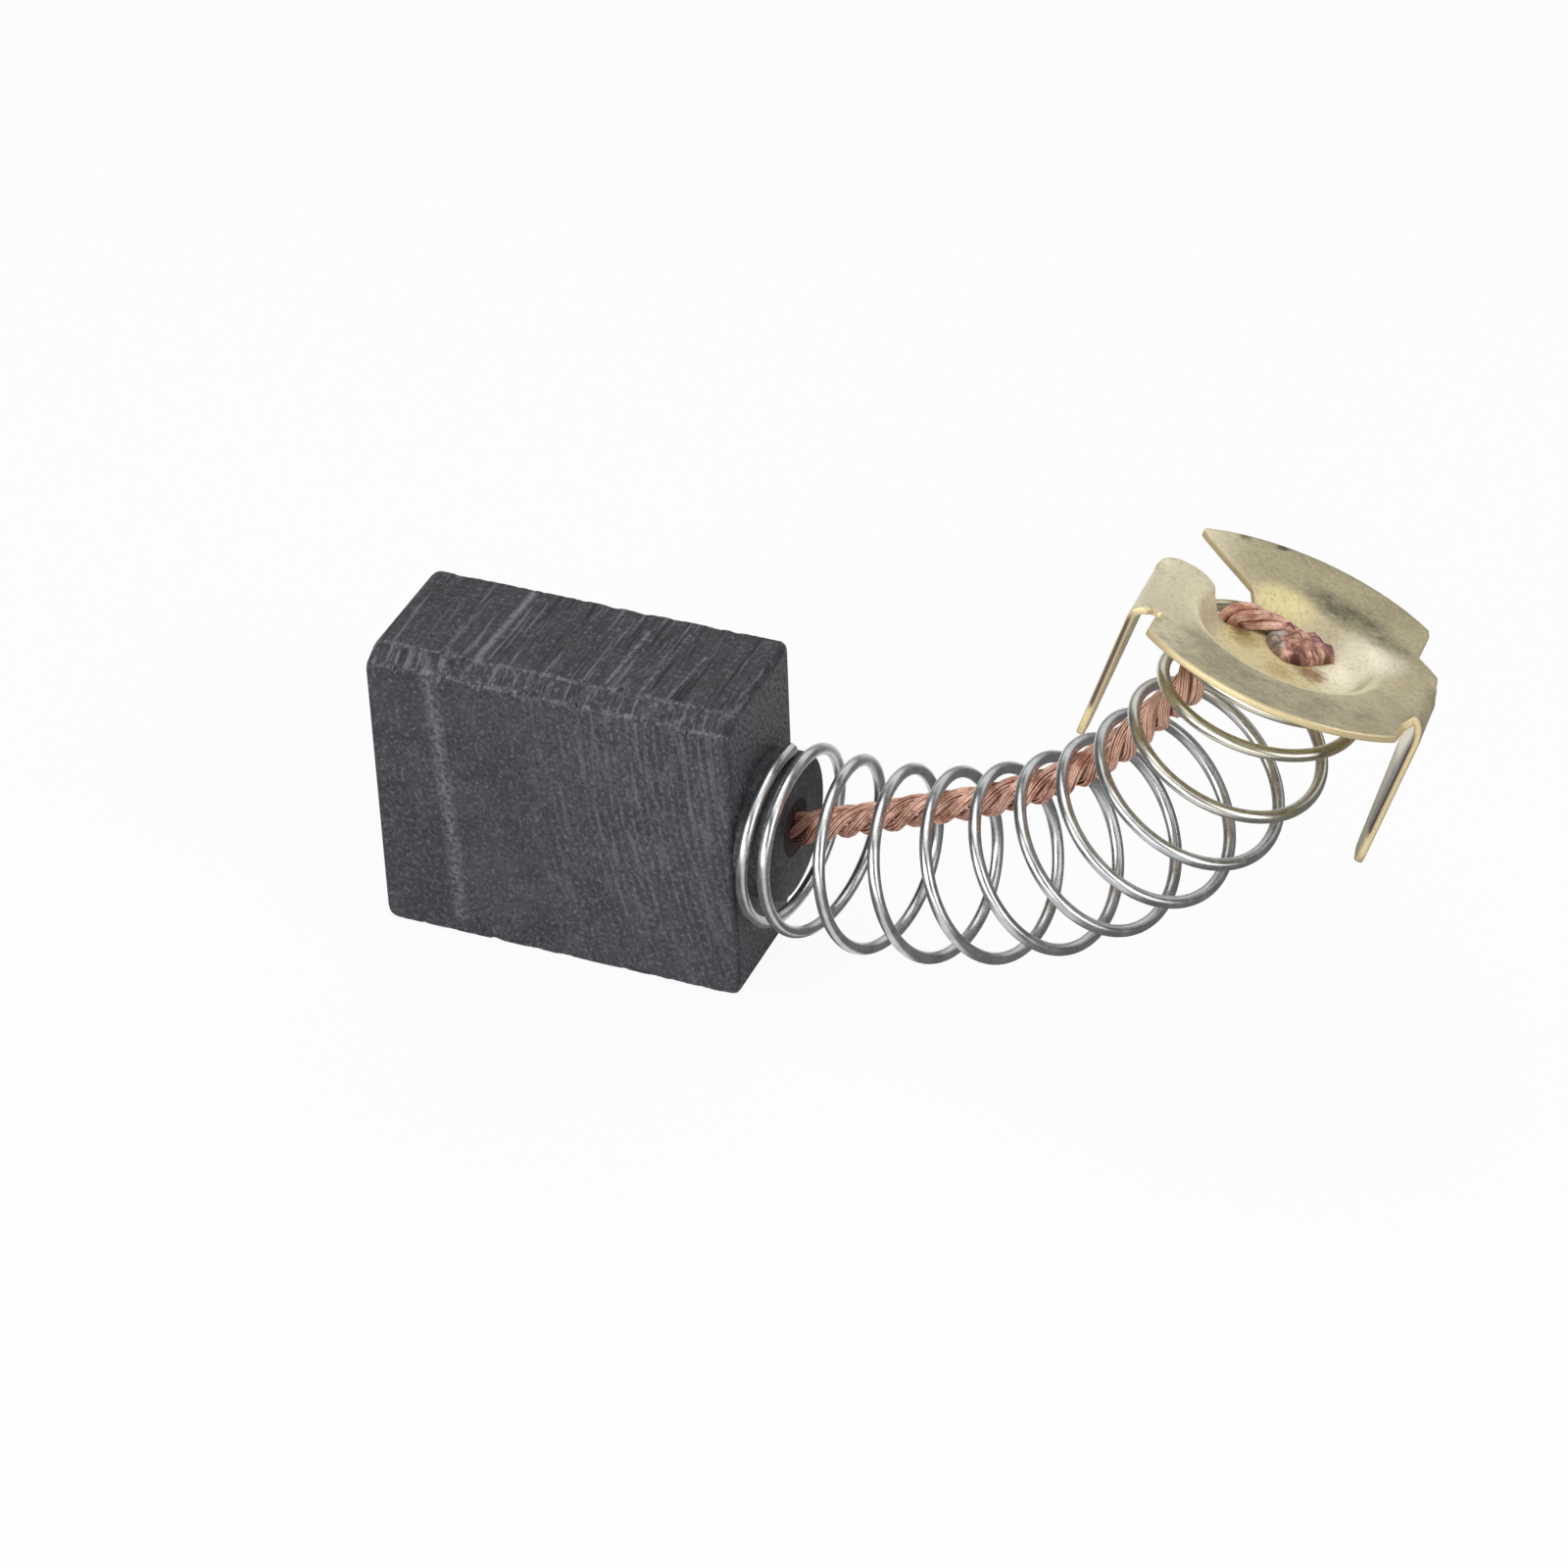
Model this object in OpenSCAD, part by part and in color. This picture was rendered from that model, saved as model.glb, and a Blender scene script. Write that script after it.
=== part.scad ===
// Carbon brush with a bowed pressure spring, a copper shunt and a stamped terminal.
// X runs along the block towards the spring, Y away from the viewer, Z up.
// The origin lies under the middle of the block, on the plane that it stands on.

/* [Carbon block] */
// Length from the contact face to the spring's face
block_length = 16; // [12:0.5:22]
// Height of the large faces
block_height = 13.5; // [12:0.5:18]
// Thickness across the narrow faces
block_thickness = 6.5; // [6.5:0.1:9]
// Width of the bevel on the upper near edge, across the narrow face
upper_bevel_across = 0.9; // [0.4:0.1:1.5]
// Depth of the same bevel, down the large face
upper_bevel_down = 0.5; // [0.3:0.1:1.5]
// Width of the bevel on the lower far edge, across the narrow face
lower_bevel_across = 1.9; // [0.5:0.1:2]
// Height of the same bevel, up the large face
lower_bevel_up = 2.1; // [0.5:0.1:3]
// Small chamfer on the edges that have no bevel
edge_break = 0.25; // [0.1:0.05:0.4]
// Radius worn on the two ends of the contact face
contact_round = 0.45; // [0.2:0.05:1]

/* [Spring seat] */
// Diameter of the round boss that centres the spring
boss_d = 6.2; // [5.6:0.1:6.8]
// Height of the boss
boss_h = 1.4; // [0.8:0.1:2]
// Chamfer round the boss
boss_chamfer = 0.15; // [0.05:0.05:0.3]
// Diameter of the hole that the shunt is tamped into
hole_d = 2.5; // [2:0.1:3.2]
// Depth of that hole from the top of the boss
hole_depth = 5; // [3.5:0.5:7]
// How far the tamped powder stands below the mouth of its hole
powder_recess = 0.05; // [0:0.05:0.3]

/* [Spring] */
// Thickness of the spring wire
wire_d = 0.5; // [0.4:0.05:0.6]
// Room between the boss and the inside of the coil
boss_fit = 0.4; // [0.35:0.05:0.5]
// How far the coil sags below the middle of the boss
coil_sag = 0.35; // [0:0.05:0.35]
// Number of turns from end to end
turns = 12.4; // [10:0.2:13]
// Turns laid close at the block
seat_turns = 1.1; // [0.8:0.1:1.5]
// Pitch of those turns
seat_pitch = 0.95; // [0.8:0.05:1.6]
// Turns laid close at the terminal
end_turns = 1.6; // [1:0.1:2]
// Pitch of those turns
end_pitch = 0.62; // [0.6:0.02:0.8]
// Angle at which the wire starts, from the top of the boss
start_angle = -12; // [-40:2:40]

/* [Bend of the spring] */
// Reach of the terminal from the block's rear face
bend_reach = 22.2; // [20:0.1:24]
// Height of the terminal above the middle of the boss
bend_rise = 14.7; // [13:0.1:16]
// Sideways place of the terminal
bend_sway = -0.35; // [-1.5:0.05:1.5]
// Droop of the spring's axis where it leaves the block
start_dip = 3.5; // [0:0.5:6]
// Turn of the same axis towards the viewer
start_swing = 6; // [0:0.5:8]
// How long the spring keeps its direction at the block
start_pull = 14.4; // [9:0.1:15]
// How long it keeps its direction at the terminal
end_pull = 3.3; // [2:0.1:10]
// Straight stretch of the spring's axis under the terminal
end_straight = 2.2; // [1.5:0.1:3]
// Lean of the terminal's axis away from the upright, towards +X
plate_lean = 18; // [10:1:25]
// Lean of the same axis away from the viewer
plate_tip = 13.5; // [5:0.5:20]
// Turn of the terminal about its own axis
plate_turn = 3; // [0:0.5:8]

/* [Terminal] */
// Thickness of the brass sheet
sheet_t = 0.3; // [0.2:0.05:0.4]
// Diameter of the dished plate
plate_d = 14.2; // [13.6:0.1:16]
// Rise of the plate's brim from the cup's lip to the rim
brim_rise = 0.42; // [0.2:0.02:0.6]
// Depth of the cup below its lip
cup_depth = 0.9; // [0.6:0.05:1.2]
// Slope of the cup's wall
cup_slope = 50; // [40:1:60]
// Distance of the cup's lip inside the coil's centre line
cup_fit = 0.15; // [0.1:0.05:0.3]
// Room between the last turn and the sheet
seat_gap = 0.02; // [0.01:0.01:0.1]
// Distance from the plate's middle to the outside of the left leg
left_leg_out = 5.7; // [5.6:0.05:6.2]
// Distance from the plate's middle to the outside of the right leg
right_leg_out = 6.1; // [5.8:0.05:6.4]
// Inside radius of the fold at the root of a leg
fold_r = 0.4; // [0.2:0.05:0.6]
// Length of the legs from the fold's top to the tip
leg_length = 6.1; // [4:0.1:9]
// Width of a leg at its root
leg_root_w = 4.2; // [3.5:0.1:4.6]
// Width of a leg at its tip
leg_tip_w = 1.9; // [1.2:0.1:3]
// Length of a leg's full width below its fold
leg_shoulder = 0.8; // [0.4:0.1:2]
// Radius of the corners at a leg's tip
leg_tip_r = 0.6; // [0.3:0.1:0.6]
// Distance of a leg's near edge in front of the plate's middle
leg_near = 3.4; // [3:0.1:4]

/* [Shunt] */
// Thickness of one bundle of copper wires
bundle_d = 0.5; // [0.4:0.02:0.52]
// Radius at which the bundles lie round the shunt's middle
bundle_r = 0.43; // [0.4:0.01:0.45]
// Times that the bundles go round between the shunt's ends
lay_turns = 7.2; // [4:0.2:8]
// Depth of the shunt's end in the block, from the top of the boss
shunt_depth = 3.6; // [2:0.2:4.5]
// Thickness of the flattened end above the cup's floor
pad_t = 0.76; // [0.4:0.02:0.8]

/* [Hidden] */

// Clearance between pieces that touch without being joined
touch = 0.02;
// Smallest overlap of solids that are joined into one piece
join = 0.05;

// Middle of the boss on the block's rear face
seat = [block_length / 2, 0, block_height / 2];
coil_r = boss_d / 2 + boss_fit + wire_d / 2;

// Middle of the plate in its rim's plane, and the plate's own directions
plate_middle = seat + [bend_reach, bend_sway, bend_rise];
plate_w = [sin(plate_lean) * cos(plate_tip), sin(plate_tip), cos(plate_lean) * cos(plate_tip)];
level_u = [cos(plate_lean), 0, -sin(plate_lean)];
level_v = cross(plate_w, level_u);
plate_u = cos(plate_turn) * level_u + sin(plate_turn) * level_v;
plate_v = cross(plate_w, plate_u);
function on_plate(p) = plate_middle + p[0] * plate_u + p[1] * plate_v + p[2] * plate_w;
module at_plate() {
    translate(plate_middle) rotate([-plate_tip, plate_lean, 0]) rotate(plate_turn) children();
}

// Sizes of the dished sheet
lip_r = coil_r - cup_fit;
plate_r = plate_d / 2;
floor_w = -brim_rise - cup_depth;
wall_foot_r = lip_r - cup_depth / tan(cup_slope);
brim_slope = atan(brim_rise / (plate_r - lip_r));
lip_round = 0.3;
floor_round = 0.5;

// Middle and radius of the slot's round end
slot_middle = [-2.3, 1.8];
slot_r = 1.1;

// Depth of the last turn's centre, where the wire rests on the cup's slope
coil_w = -brim_rise
    - (sheet_t + wire_d / 2 + seat_gap - cup_fit * sin(cup_slope)) / cos(cup_slope);

// Axis of the spring: a curve of four poles and then a straight stretch
start_heading = [cos(start_dip) * cos(start_swing), -sin(start_swing) * cos(start_dip), -sin(start_dip)];
start_tilt = coil_r * norm([start_heading[1], start_heading[2]]);
axis_start = seat + [wire_d / 2 + touch + start_tilt, 0, -coil_sag];
axis_end = on_plate([0, 0, -end_straight]);
poles = [axis_start, axis_start + start_pull * start_heading, axis_end - end_pull * plate_w, axis_end];
function curve(t) = pow(1 - t, 3) * poles[0] + 3 * t * pow(1 - t, 2) * poles[1]
    + 3 * t * t * (1 - t) * poles[2] + pow(t, 3) * poles[3];
function heading(t) = unit(pow(1 - t, 2) * (poles[1] - poles[0])
    + 2 * t * (1 - t) * (poles[2] - poles[1]) + t * t * (poles[3] - poles[2]));
function unit(v) = v / norm(v);

// Length along the curve, as a table that is looked up both ways
steps = 120;
function sums(list, i = 0, total = 0) =
    i == len(list) ? [total] : concat([total], sums(list, i + 1, total + list[i]));
chords = [for (i = [0:steps - 1]) norm(curve((i + 1) / steps) - curve(i / steps))];
along = sums(chords);
curve_length = along[steps];
share = [for (i = [0:steps]) [along[i], i / steps]];
function axis_point(s) = s < curve_length ? curve(lookup(s, share))
    : axis_end + (s - curve_length) * plate_w;
function axis_heading(s) = s < curve_length ? heading(lookup(s, share)) : plate_w;

// Advance of the coil: close turns at both ends, and an even pitch between them
axis_length = curve_length + end_straight + coil_w;
ramp = 0.32;
open_from = seat_turns + ramp / 2;
open_to = turns - end_turns - ramp / 2;
open_turns = open_to - open_from;
open_pitch = (axis_length - seat_pitch * open_from - end_pitch * (turns - open_to)) / open_turns;
function eased(x) = x <= 0 ? 0 : x >= 1 ? x - 0.5 : pow(x, 3) - pow(x, 4) / 2;
function advance(u) = seat_pitch * u
    + (open_pitch - seat_pitch) * ramp * eased((u - open_from) / ramp + 0.5)
    + (end_pitch - open_pitch) * ramp * eased((u - open_to) / ramp + 0.5);

// Centre of the wire after u turns, and the two directions across it
function wire_point(u) = let (s = advance(u), t = axis_heading(s), side = unit(cross(t, [0, 1, 0])),
        a = 360 * u + start_angle)
    axis_point(s) + coil_r * (cos(a) * side + sin(a) * cross(t, side));
function wire_out(u) = unit(wire_point(u) - axis_point(advance(u)));
rings_per_turn = 24;
wire_sides = 8;
wire_rings = round(turns * rings_per_turn);

// Route of the shunt: out of the boss, inside the coil, and then through the plate's slot.
// Points in the coil state their share of the spring's axis, and their place across it
// as shares of the room that the coil leaves beside the shunt.
shunt_r = bundle_r + bundle_d / 2;
coil_room = coil_r - wire_d / 2 - shunt_r - touch;
route_at_seat = [[boss_h - shunt_depth, 0, 0], [boss_h - 0.8, 0, 0], [boss_h + 0.4, 0, 0.05]];
route_in_coil = [[0.1, 0.44, -0.04], [0.17, 0.66, -0.04], [0.29, 0.91, -0.1],
    [0.42, 0.96, -0.18], [0.575, 0.955, -0.25], [0.7, 0.96, -0.26],
    [0.81, 0.97, -0.24], [0.898, 0.89, -0.06], [0.96, 0.92, -0.25]];
route_at_slot = [[-0.15, -0.5, -0.53], [0.15, -0.3, 0.32], [0.55, -0.15, 0.7],
    [1, 0.05, 0.72], [1.5, 0.15, 0.6]];
function in_coil(p) = let (s = p[0] * curve_length, t = axis_heading(s), side = unit(cross(t, [0, 1, 0])))
    axis_point(s) + coil_room * (p[1] * side + p[2] * cross(t, side));
function at_slot(p) = on_plate([slot_middle[0] + p[0], slot_middle[1] + p[1], floor_w + p[2]]);
route = concat([for (p = route_at_seat) seat + p], [for (p = route_in_coil) in_coil(p)],
    [for (p = route_at_slot) at_slot(p)]);
route_last = len(route) - 1;
function route_at(i) = route[max(0, min(route_last, i))];
function spline(a, b, c, d, t) = 0.5 * (2 * b + (c - a) * t
    + (2 * a - 5 * b + 4 * c - d) * t * t + (3 * b - a - 3 * c + d) * t * t * t);
function route_point(x) = let (i = min(floor(x), route_last - 1))
    spline(route_at(i - 1), route_at(i), route_at(i + 1), route_at(i + 2), x - i);
steps_a_point = 12;
route_steps = steps_a_point * route_last;
fine = [for (i = [0:route_steps]) route_point(i / steps_a_point)];
fine_along = sums([for (i = [0:route_steps - 1]) norm(fine[i + 1] - fine[i])]);
shunt_length = fine_along[route_steps];
route_share = [for (i = [0:route_steps]) [fine_along[i], i / steps_a_point]];

// Length between two rings of a bundle, and its sides
ring_spacing = 0.4;
bundle_rings = ceil(shunt_length / ring_spacing);
bundle_sides = 6;

// Length in which the bundles go once round
lay = shunt_length / lay_turns;
function shunt_point(s) = route_point(lookup(s, route_share));
function shunt_heading(s) = unit(shunt_point(min(s + 0.05, shunt_length)) - shunt_point(max(s - 0.05, 0)));
function shunt_side(s) = unit(cross(shunt_heading(s), [0, 1, 0]));

// Outline of the flattened end on the cup's floor, and the middle of its dome
pad_outline = [[-0.6, 2.25], [-0.6, 0.7], [-0.2, 0.05], [0.3, -0.2], [0.85, 0.15],
    [1.4, 0.9], [1.75, 1.7], [1.45, 2.05], [0.7, 2.35]];
pad_middle = [0.5, 1.1];
pad_dome_r = 4;

// Skin of a round bar through rings of points, closed at both ends
module skin(rings, sides) {
    last = len(rings) - 1;
    polyhedron(
        points = [for (ring = rings) each ring],
        faces = concat(
            [[for (j = [0:sides - 1]) j]],
            [[for (j = [sides - 1:-1:0]) last * sides + j]],
            [for (i = [0:last - 1], j = [0:sides - 1]) let (k = (j + 1) % sides)
                [i * sides + j, (i + 1) * sides + j, (i + 1) * sides + k]],
            [for (i = [0:last - 1], j = [0:sides - 1]) let (k = (j + 1) % sides)
                [i * sides + j, (i + 1) * sides + k, i * sides + k]]));
}

// One ring of points round a centre, square to a heading
function ring_round(centre, heading, out, r, sides) =
    let (a = unit(out - (out * heading) * heading), b = cross(heading, a))
    [for (j = [0:sides - 1]) centre + r * (cos(360 * j / sides) * a + sin(360 * j / sides) * b)];

// Points of an arc in a plane
function arc(centre, r, from, to, count) =
    [for (i = [0:count]) let (a = from + (to - from) * i / count) centre + r * [cos(a), sin(a)]];

// Section of the block: two bevelled and two broken edges
module block_section() {
    y = block_thickness / 2;
    polygon([
        [-y + edge_break, 0], [y - lower_bevel_across, 0],
        [y, lower_bevel_up], [y, block_height - edge_break],
        [y - edge_break, block_height], [-y + upper_bevel_across, block_height],
        [-y, block_height - upper_bevel_down], [-y, edge_break]]);
}

// Side of the block: corners rounded at the contact face, broken at the rear
module block_side() {
    x = block_length / 2;
    polygon(concat(
        arc([-x + contact_round, block_height - contact_round], contact_round, 90, 180, 6),
        arc([-x + contact_round, contact_round], contact_round, 180, 270, 6),
        [[x - edge_break, 0], [x, edge_break],
            [x, block_height - edge_break], [x - edge_break, block_height]]));
}

// Plan of the block: the four upright edges broken
module block_plan() {
    x = block_length / 2;
    y = block_thickness / 2;
    b = edge_break;
    polygon([[-x + b, -y], [x - b, -y], [x, -y + b], [x, y - b],
        [x - b, y], [-x + b, y], [-x, y - b], [-x, -y + b]]);
}

module carbon_block() {
    color("dimgray")
        difference() {
            union() {
                intersection() {
                    rotate([90, 0, 90])
                        linear_extrude(height = block_length + 2, center = true) block_section();
                    rotate([90, 0, 0])
                        linear_extrude(height = block_thickness + 2, center = true) block_side();
                    translate([0, 0, -1])
                        linear_extrude(height = block_height + 2) block_plan();
                }
                translate(seat) rotate([0, 90, 0]) boss();
            }
            translate(seat + [boss_h - hole_depth, 0, 0]) rotate([0, 90, 0])
                cylinder(d = hole_d, h = hole_depth + 1, $fn = 64);
        }
}

// Boss with a chamfered top, sunk a little into the block to join it
module boss() {
    rotate_extrude($fn = 96)
        polygon([[0, -join], [boss_d / 2, -join], [boss_d / 2, boss_h - boss_chamfer],
            [boss_d / 2 - boss_chamfer, boss_h], [0, boss_h]]);
}

// Powder that holds the shunt, with room for the slanted ends of the bundles
module tamped_powder() {
    end_room = bundle_d / 4 + touch;
    color("saddlebrown")
        translate(seat + [boss_h - hole_depth, 0, 0]) rotate([0, 90, 0])
            difference() {
                translate([0, 0, touch])
                    cylinder(d = hole_d - 2 * touch, h = hole_depth - touch - powder_recess, $fn = 64);
                translate([0, 0, hole_depth - shunt_depth - end_room])
                    cylinder(r = shunt_r + touch, h = shunt_depth + 1, $fn = 48);
            }
}

module spring() {
    color("silver")
        skin([for (i = [0:wire_rings])
            let (u = turns * i / wire_rings, h = 0.002,
                go = unit(wire_point(min(u + h, turns)) - wire_point(max(u - h, 0))))
            ring_round(wire_point(u), go, wire_out(u), wire_d / 2, wire_sides)], wire_sides);
}

// Profile of the dished sheet: floor, fillet, sloping wall, lip and brim
module dish_profile() {
    turn = cup_slope - brim_slope;
    foot = [wall_foot_r - (floor_round + sheet_t / 2) * tan(cup_slope / 2), floor_w];
    foot_centre = foot + [0, floor_round];
    lip = [lip_r, -brim_rise];
    lip_back = (lip_round + sheet_t) * tan(turn / 2);
    lip_centre = lip - lip_back * [cos(cup_slope), sin(cup_slope)]
        + (lip_round + sheet_t) * [sin(cup_slope), -cos(cup_slope)];
    rim = [plate_r + 1, -brim_rise + (plate_r + 1 - lip_r) * tan(brim_slope)];
    down = sheet_t * [sin(brim_slope), -cos(brim_slope)];
    polygon(concat(
        [[0, floor_w]],
        arc(foot_centre, floor_round, -90, cup_slope - 90, 5),
        arc(lip_centre, lip_round + sheet_t, 90 + cup_slope, 90 + brim_slope, 5),
        [rim, rim + down],
        arc(lip_centre, lip_round, 90 + brim_slope, 90 + cup_slope, 5),
        arc(foot_centre, floor_round + sheet_t, cup_slope - 90, -90, 5),
        [[0, floor_w - sheet_t]]));
}

// Outline of the plate between its folds, seen along its axis
module plate_outline() {
    left = left_leg_out - sheet_t - fold_r + join;
    right = right_leg_out - sheet_t - fold_r + join;
    difference() {
        union() {
            intersection() {
                circle(d = plate_d, $fn = 120);
                union() {
                    translate([-left, -leg_near]) square([left + right, leg_root_w]);
                    polygon([[-waist, -plate_r], [right, -plate_r], [right, 0], [-waist, 0]]);
                    polygon([[-left, 0], [right, 0], [waist, plate_r], [-left, plate_r]]);
                    ear();
                }
            }
            translate(lobe_middle) circle(r = lobe_r, $fn = 48);
        }
        slot();
        for (x = [-waist, right]) translate([x, -leg_near]) circle(r = relief_r, $fn = 24);
    }
}

// Half width of the plate beyond its legs, and the small reliefs beside them
waist = 4.7;
relief_r = 0.3;

// Rounded lobe on the left, between the leg and the slot
lobe_middle = [-4.4, 0.85];
lobe_r = 1.35;

// Ear on the right, between the leg and the step in the edge
module ear() {
    edge = right_leg_out - sheet_t;
    polygon([[0, 0.5], [edge, 0.8], [edge + 0.1, 1.2], [edge - 0.1, 2],
        [waist + 0.1, 3], [waist, plate_r], [0, plate_r]]);
}

// Slot that lets the shunt through: a round end, and walls that open to the left
module slot() {
    translate(slot_middle) circle(r = slot_r, $fn = 48);
    difference() {
        polygon([slot_middle + slot_r * [0.47, 0.88], [-4.8, 5.1], [-9, 7.5], [-9, 0.9],
            [-4.4, 0.9], slot_middle - slot_r * [0.6, 0.8]]);
        translate(lobe_middle) circle(r = lobe_r, $fn = 48);
    }
}

// One leg: a fold of a quarter turn, and a tapered tongue with a round tip
module leg(leg_out) {
    side = leg_out - sheet_t - fold_r;
    fold_w = -brim_rise + (side - lip_r) * tan(brim_slope) + 0.03;
    translate([side, leg_root_w - leg_near, fold_w - sheet_t - fold_r]) rotate([90, 0, 0]) {
        intersection() {
            difference() {
                cylinder(r = fold_r + sheet_t, h = leg_root_w, $fn = 48);
                translate([0, 0, -1]) cylinder(r = fold_r, h = leg_root_w + 2, $fn = 48);
            }
            translate([-join, 0, -1]) cube([leg_out, leg_out, leg_root_w + 2]);
        }
        translate([fold_r, 0, 0]) rotate([90, 0, 90])
            linear_extrude(height = sheet_t) tongue(leg_length - fold_r - sheet_t);
    }
}

// Flat shape of a leg's tongue below its fold, with the near edge straight
module tongue(length) {
    polygon(concat(
        [[join, leg_root_w], [join, 0], [-leg_shoulder, 0]],
        arc([-length + leg_tip_r, leg_root_w - leg_tip_w + leg_tip_r], leg_tip_r, -120, -180, 5),
        arc([-length + leg_tip_r, leg_root_w - leg_tip_r], leg_tip_r, 180, 90, 5)));
}

module terminal() {
    color("darkkhaki")
        at_plate() {
            intersection() {
                rotate_extrude($fn = 120) dish_profile();
                translate([0, 0, -3]) linear_extrude(height = 6) plate_outline();
            }
            leg(right_leg_out);
            mirror([1, 0, 0]) leg(left_leg_out);
        }
}

// Flattened and welded end of the shunt, domed on top
module weld_pad() {
    color("peru")
        at_plate()
            translate([0, 0, floor_w + touch])
                intersection() {
                    linear_extrude(height = pad_t) polygon(pad_outline);
                    translate([pad_middle[0], pad_middle[1], pad_t - pad_dome_r])
                        sphere(r = pad_dome_r, $fn = 64);
                }
}

// One bundle of wires, laid left-handed round the shunt's middle
module shunt_bundle(k) {
    color("sienna")
        skin([for (i = [0:bundle_rings])
            let (s = shunt_length * i / bundle_rings, t = shunt_heading(s), side = shunt_side(s),
                a = 90 * k - 360 * s / lay, out = cos(a) * side + sin(a) * cross(t, side),
                lean = -2 * PI * bundle_r / lay,
                go = unit(t + lean * (cos(a) * cross(t, side) - sin(a) * side)))
            ring_round(shunt_point(s) + bundle_r * out, go, out, bundle_d / 2, bundle_sides)], bundle_sides);
}

carbon_block();
tamped_powder();
spring();
terminal();
weld_pad();
shunt_bundle(1);  // shunt_bundle_1
shunt_bundle(2);  // shunt_bundle_2
shunt_bundle(3);  // shunt_bundle_3
shunt_bundle(4);  // shunt_bundle_4
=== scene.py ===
import math
import random
from functools import reduce

import bmesh
import bpy
import numpy as np
from mathutils import Matrix, Vector, noise
from mathutils.geometry import delaunay_2d_cdt


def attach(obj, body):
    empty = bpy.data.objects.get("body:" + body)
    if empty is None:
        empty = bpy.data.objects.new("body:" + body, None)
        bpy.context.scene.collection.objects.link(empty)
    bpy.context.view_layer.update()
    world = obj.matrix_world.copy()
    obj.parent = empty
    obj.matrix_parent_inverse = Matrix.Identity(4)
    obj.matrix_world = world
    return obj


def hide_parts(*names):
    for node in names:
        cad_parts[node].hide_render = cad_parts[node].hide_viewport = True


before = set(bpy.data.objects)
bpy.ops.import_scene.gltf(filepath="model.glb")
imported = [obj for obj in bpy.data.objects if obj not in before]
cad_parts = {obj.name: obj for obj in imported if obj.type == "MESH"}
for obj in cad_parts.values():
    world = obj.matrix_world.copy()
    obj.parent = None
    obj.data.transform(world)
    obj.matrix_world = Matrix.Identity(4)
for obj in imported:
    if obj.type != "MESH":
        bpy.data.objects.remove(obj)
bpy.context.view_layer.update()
bpy.context.scene.view_settings.view_transform = "Standard"


# Camera: a long lens at the right of the brush, in front of it and above, a little rolled.
camera_place = (0.07926, -0.15848, 0.13329)
camera_right = Vector((0.92280, 0.38393, -0.03231))
camera_down = Vector((0.19992, -0.54885, -0.81166))
camera_ahead = Vector((-0.32935, 0.74254, -0.58323))
camera = bpy.data.objects.new("camera", bpy.data.cameras.new("camera"))
camera.matrix_world = Matrix.Translation(camera_place) @ Matrix(
    (camera_right, -camera_down, -camera_ahead)).transposed().to_4x4()
camera.data.sensor_width = 36
camera.data.lens = 121.57
camera.data.clip_start = 0.01
bpy.context.scene.collection.objects.link(camera)
bpy.context.scene.camera = camera


# Carbon block: pressed and baked carbon graphite, sawn and ground to size, with two unequal
# bevels. Its edges are uneven where grains broke out, and the grinding left lines across it.
# The round boss that centres the spring is turned from the same piece.
MM = 0.001
block_length, block_thick, block_height = 16.0, 6.5, 13.5
half_length, half_thick, mid_height = block_length / 2, block_thick / 2, block_height / 2
top_bevel_across, top_bevel_down = 0.9, 0.5
low_bevel_across, low_bevel_up = 1.9, 2.1
worn_end, sawn_end, side_rounding = 0.6, 0.35, 0.3
boss_radius, boss_height, boss_chamfer, boss_root = 3.1, 1.4, 0.15, 0.3
hole_radius, hole_shown = 1.25, 0.6
seat = np.array((half_length, 0, mid_height))


def finish_piece(name, mesh, material, nodes, smooth=None):
    """Puts a mesh in millimetres into the scene in place of its CAD nodes."""
    mesh.transform(Matrix.Scale(MM, 4))
    mesh.materials.clear()
    mesh.materials.append(material)
    if smooth is not None:
        mesh.shade_smooth()
        mesh.set_sharp_from_angle(angle=math.radians(smooth))
    piece = bpy.data.objects.new(name, mesh)
    bpy.context.scene.collection.objects.link(piece)
    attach(piece, "root")
    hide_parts(*nodes)


def skin(name, body, rings):
    """Covers a row of rings with faces, closes both ends and points the faces outwards."""
    for a, b in zip(rings, rings[1:]):
        for k in range(len(a)):
            n = (k + 1) % len(a)
            body.faces.new((a[k], a[n], b[n], b[k]))
    body.faces.new(rings[0])
    body.faces.new(rings[-1])
    bmesh.ops.recalc_face_normals(body, faces=body.faces)
    mesh = bpy.data.meshes.new(name)
    body.to_mesh(mesh)
    return mesh


def block_section():
    """Points round the block: place, the way it crumbles, how deep, and how far it is an edge."""
    # A corner across and up, the reach of its rounding, and how deep it crumbles
    corners = [((-half_thick, 0), 0.25, 0.07),
               ((-half_thick, block_height - top_bevel_down), 0.15, 0.26),
               ((top_bevel_across - half_thick, block_height), 0.13, 0.2),
               ((half_thick, block_height), 0.25, 0.07),
               ((half_thick, low_bevel_up), 0.2, 0.14),
               ((half_thick - low_bevel_across, 0), 0.2, 0.14)]
    points = []
    for i, (corner, reach, crumble) in enumerate(corners):
        here = Vector(corner)
        back = (Vector(corners[i - 1][0]) - here).normalized()
        on = (Vector(corners[(i + 1) % len(corners)][0]) - here).normalized()
        for t in (0, 1 / 3, 2 / 3, 1):
            point = here + reach * ((1 - t) ** 2 * back + t * t * on)
            way = back if t == 0 else on if t == 1 else (back + on).normalized()
            points.append((point, way, crumble, 0.0 if t in (0, 1) else 1.0))
    return points


def rounded_end(along, radius):
    """How far a rounded edge lies inside, at a distance from the end."""
    return radius - math.sqrt(radius ** 2 - (radius - along) ** 2) if along < radius else 0.0


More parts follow.
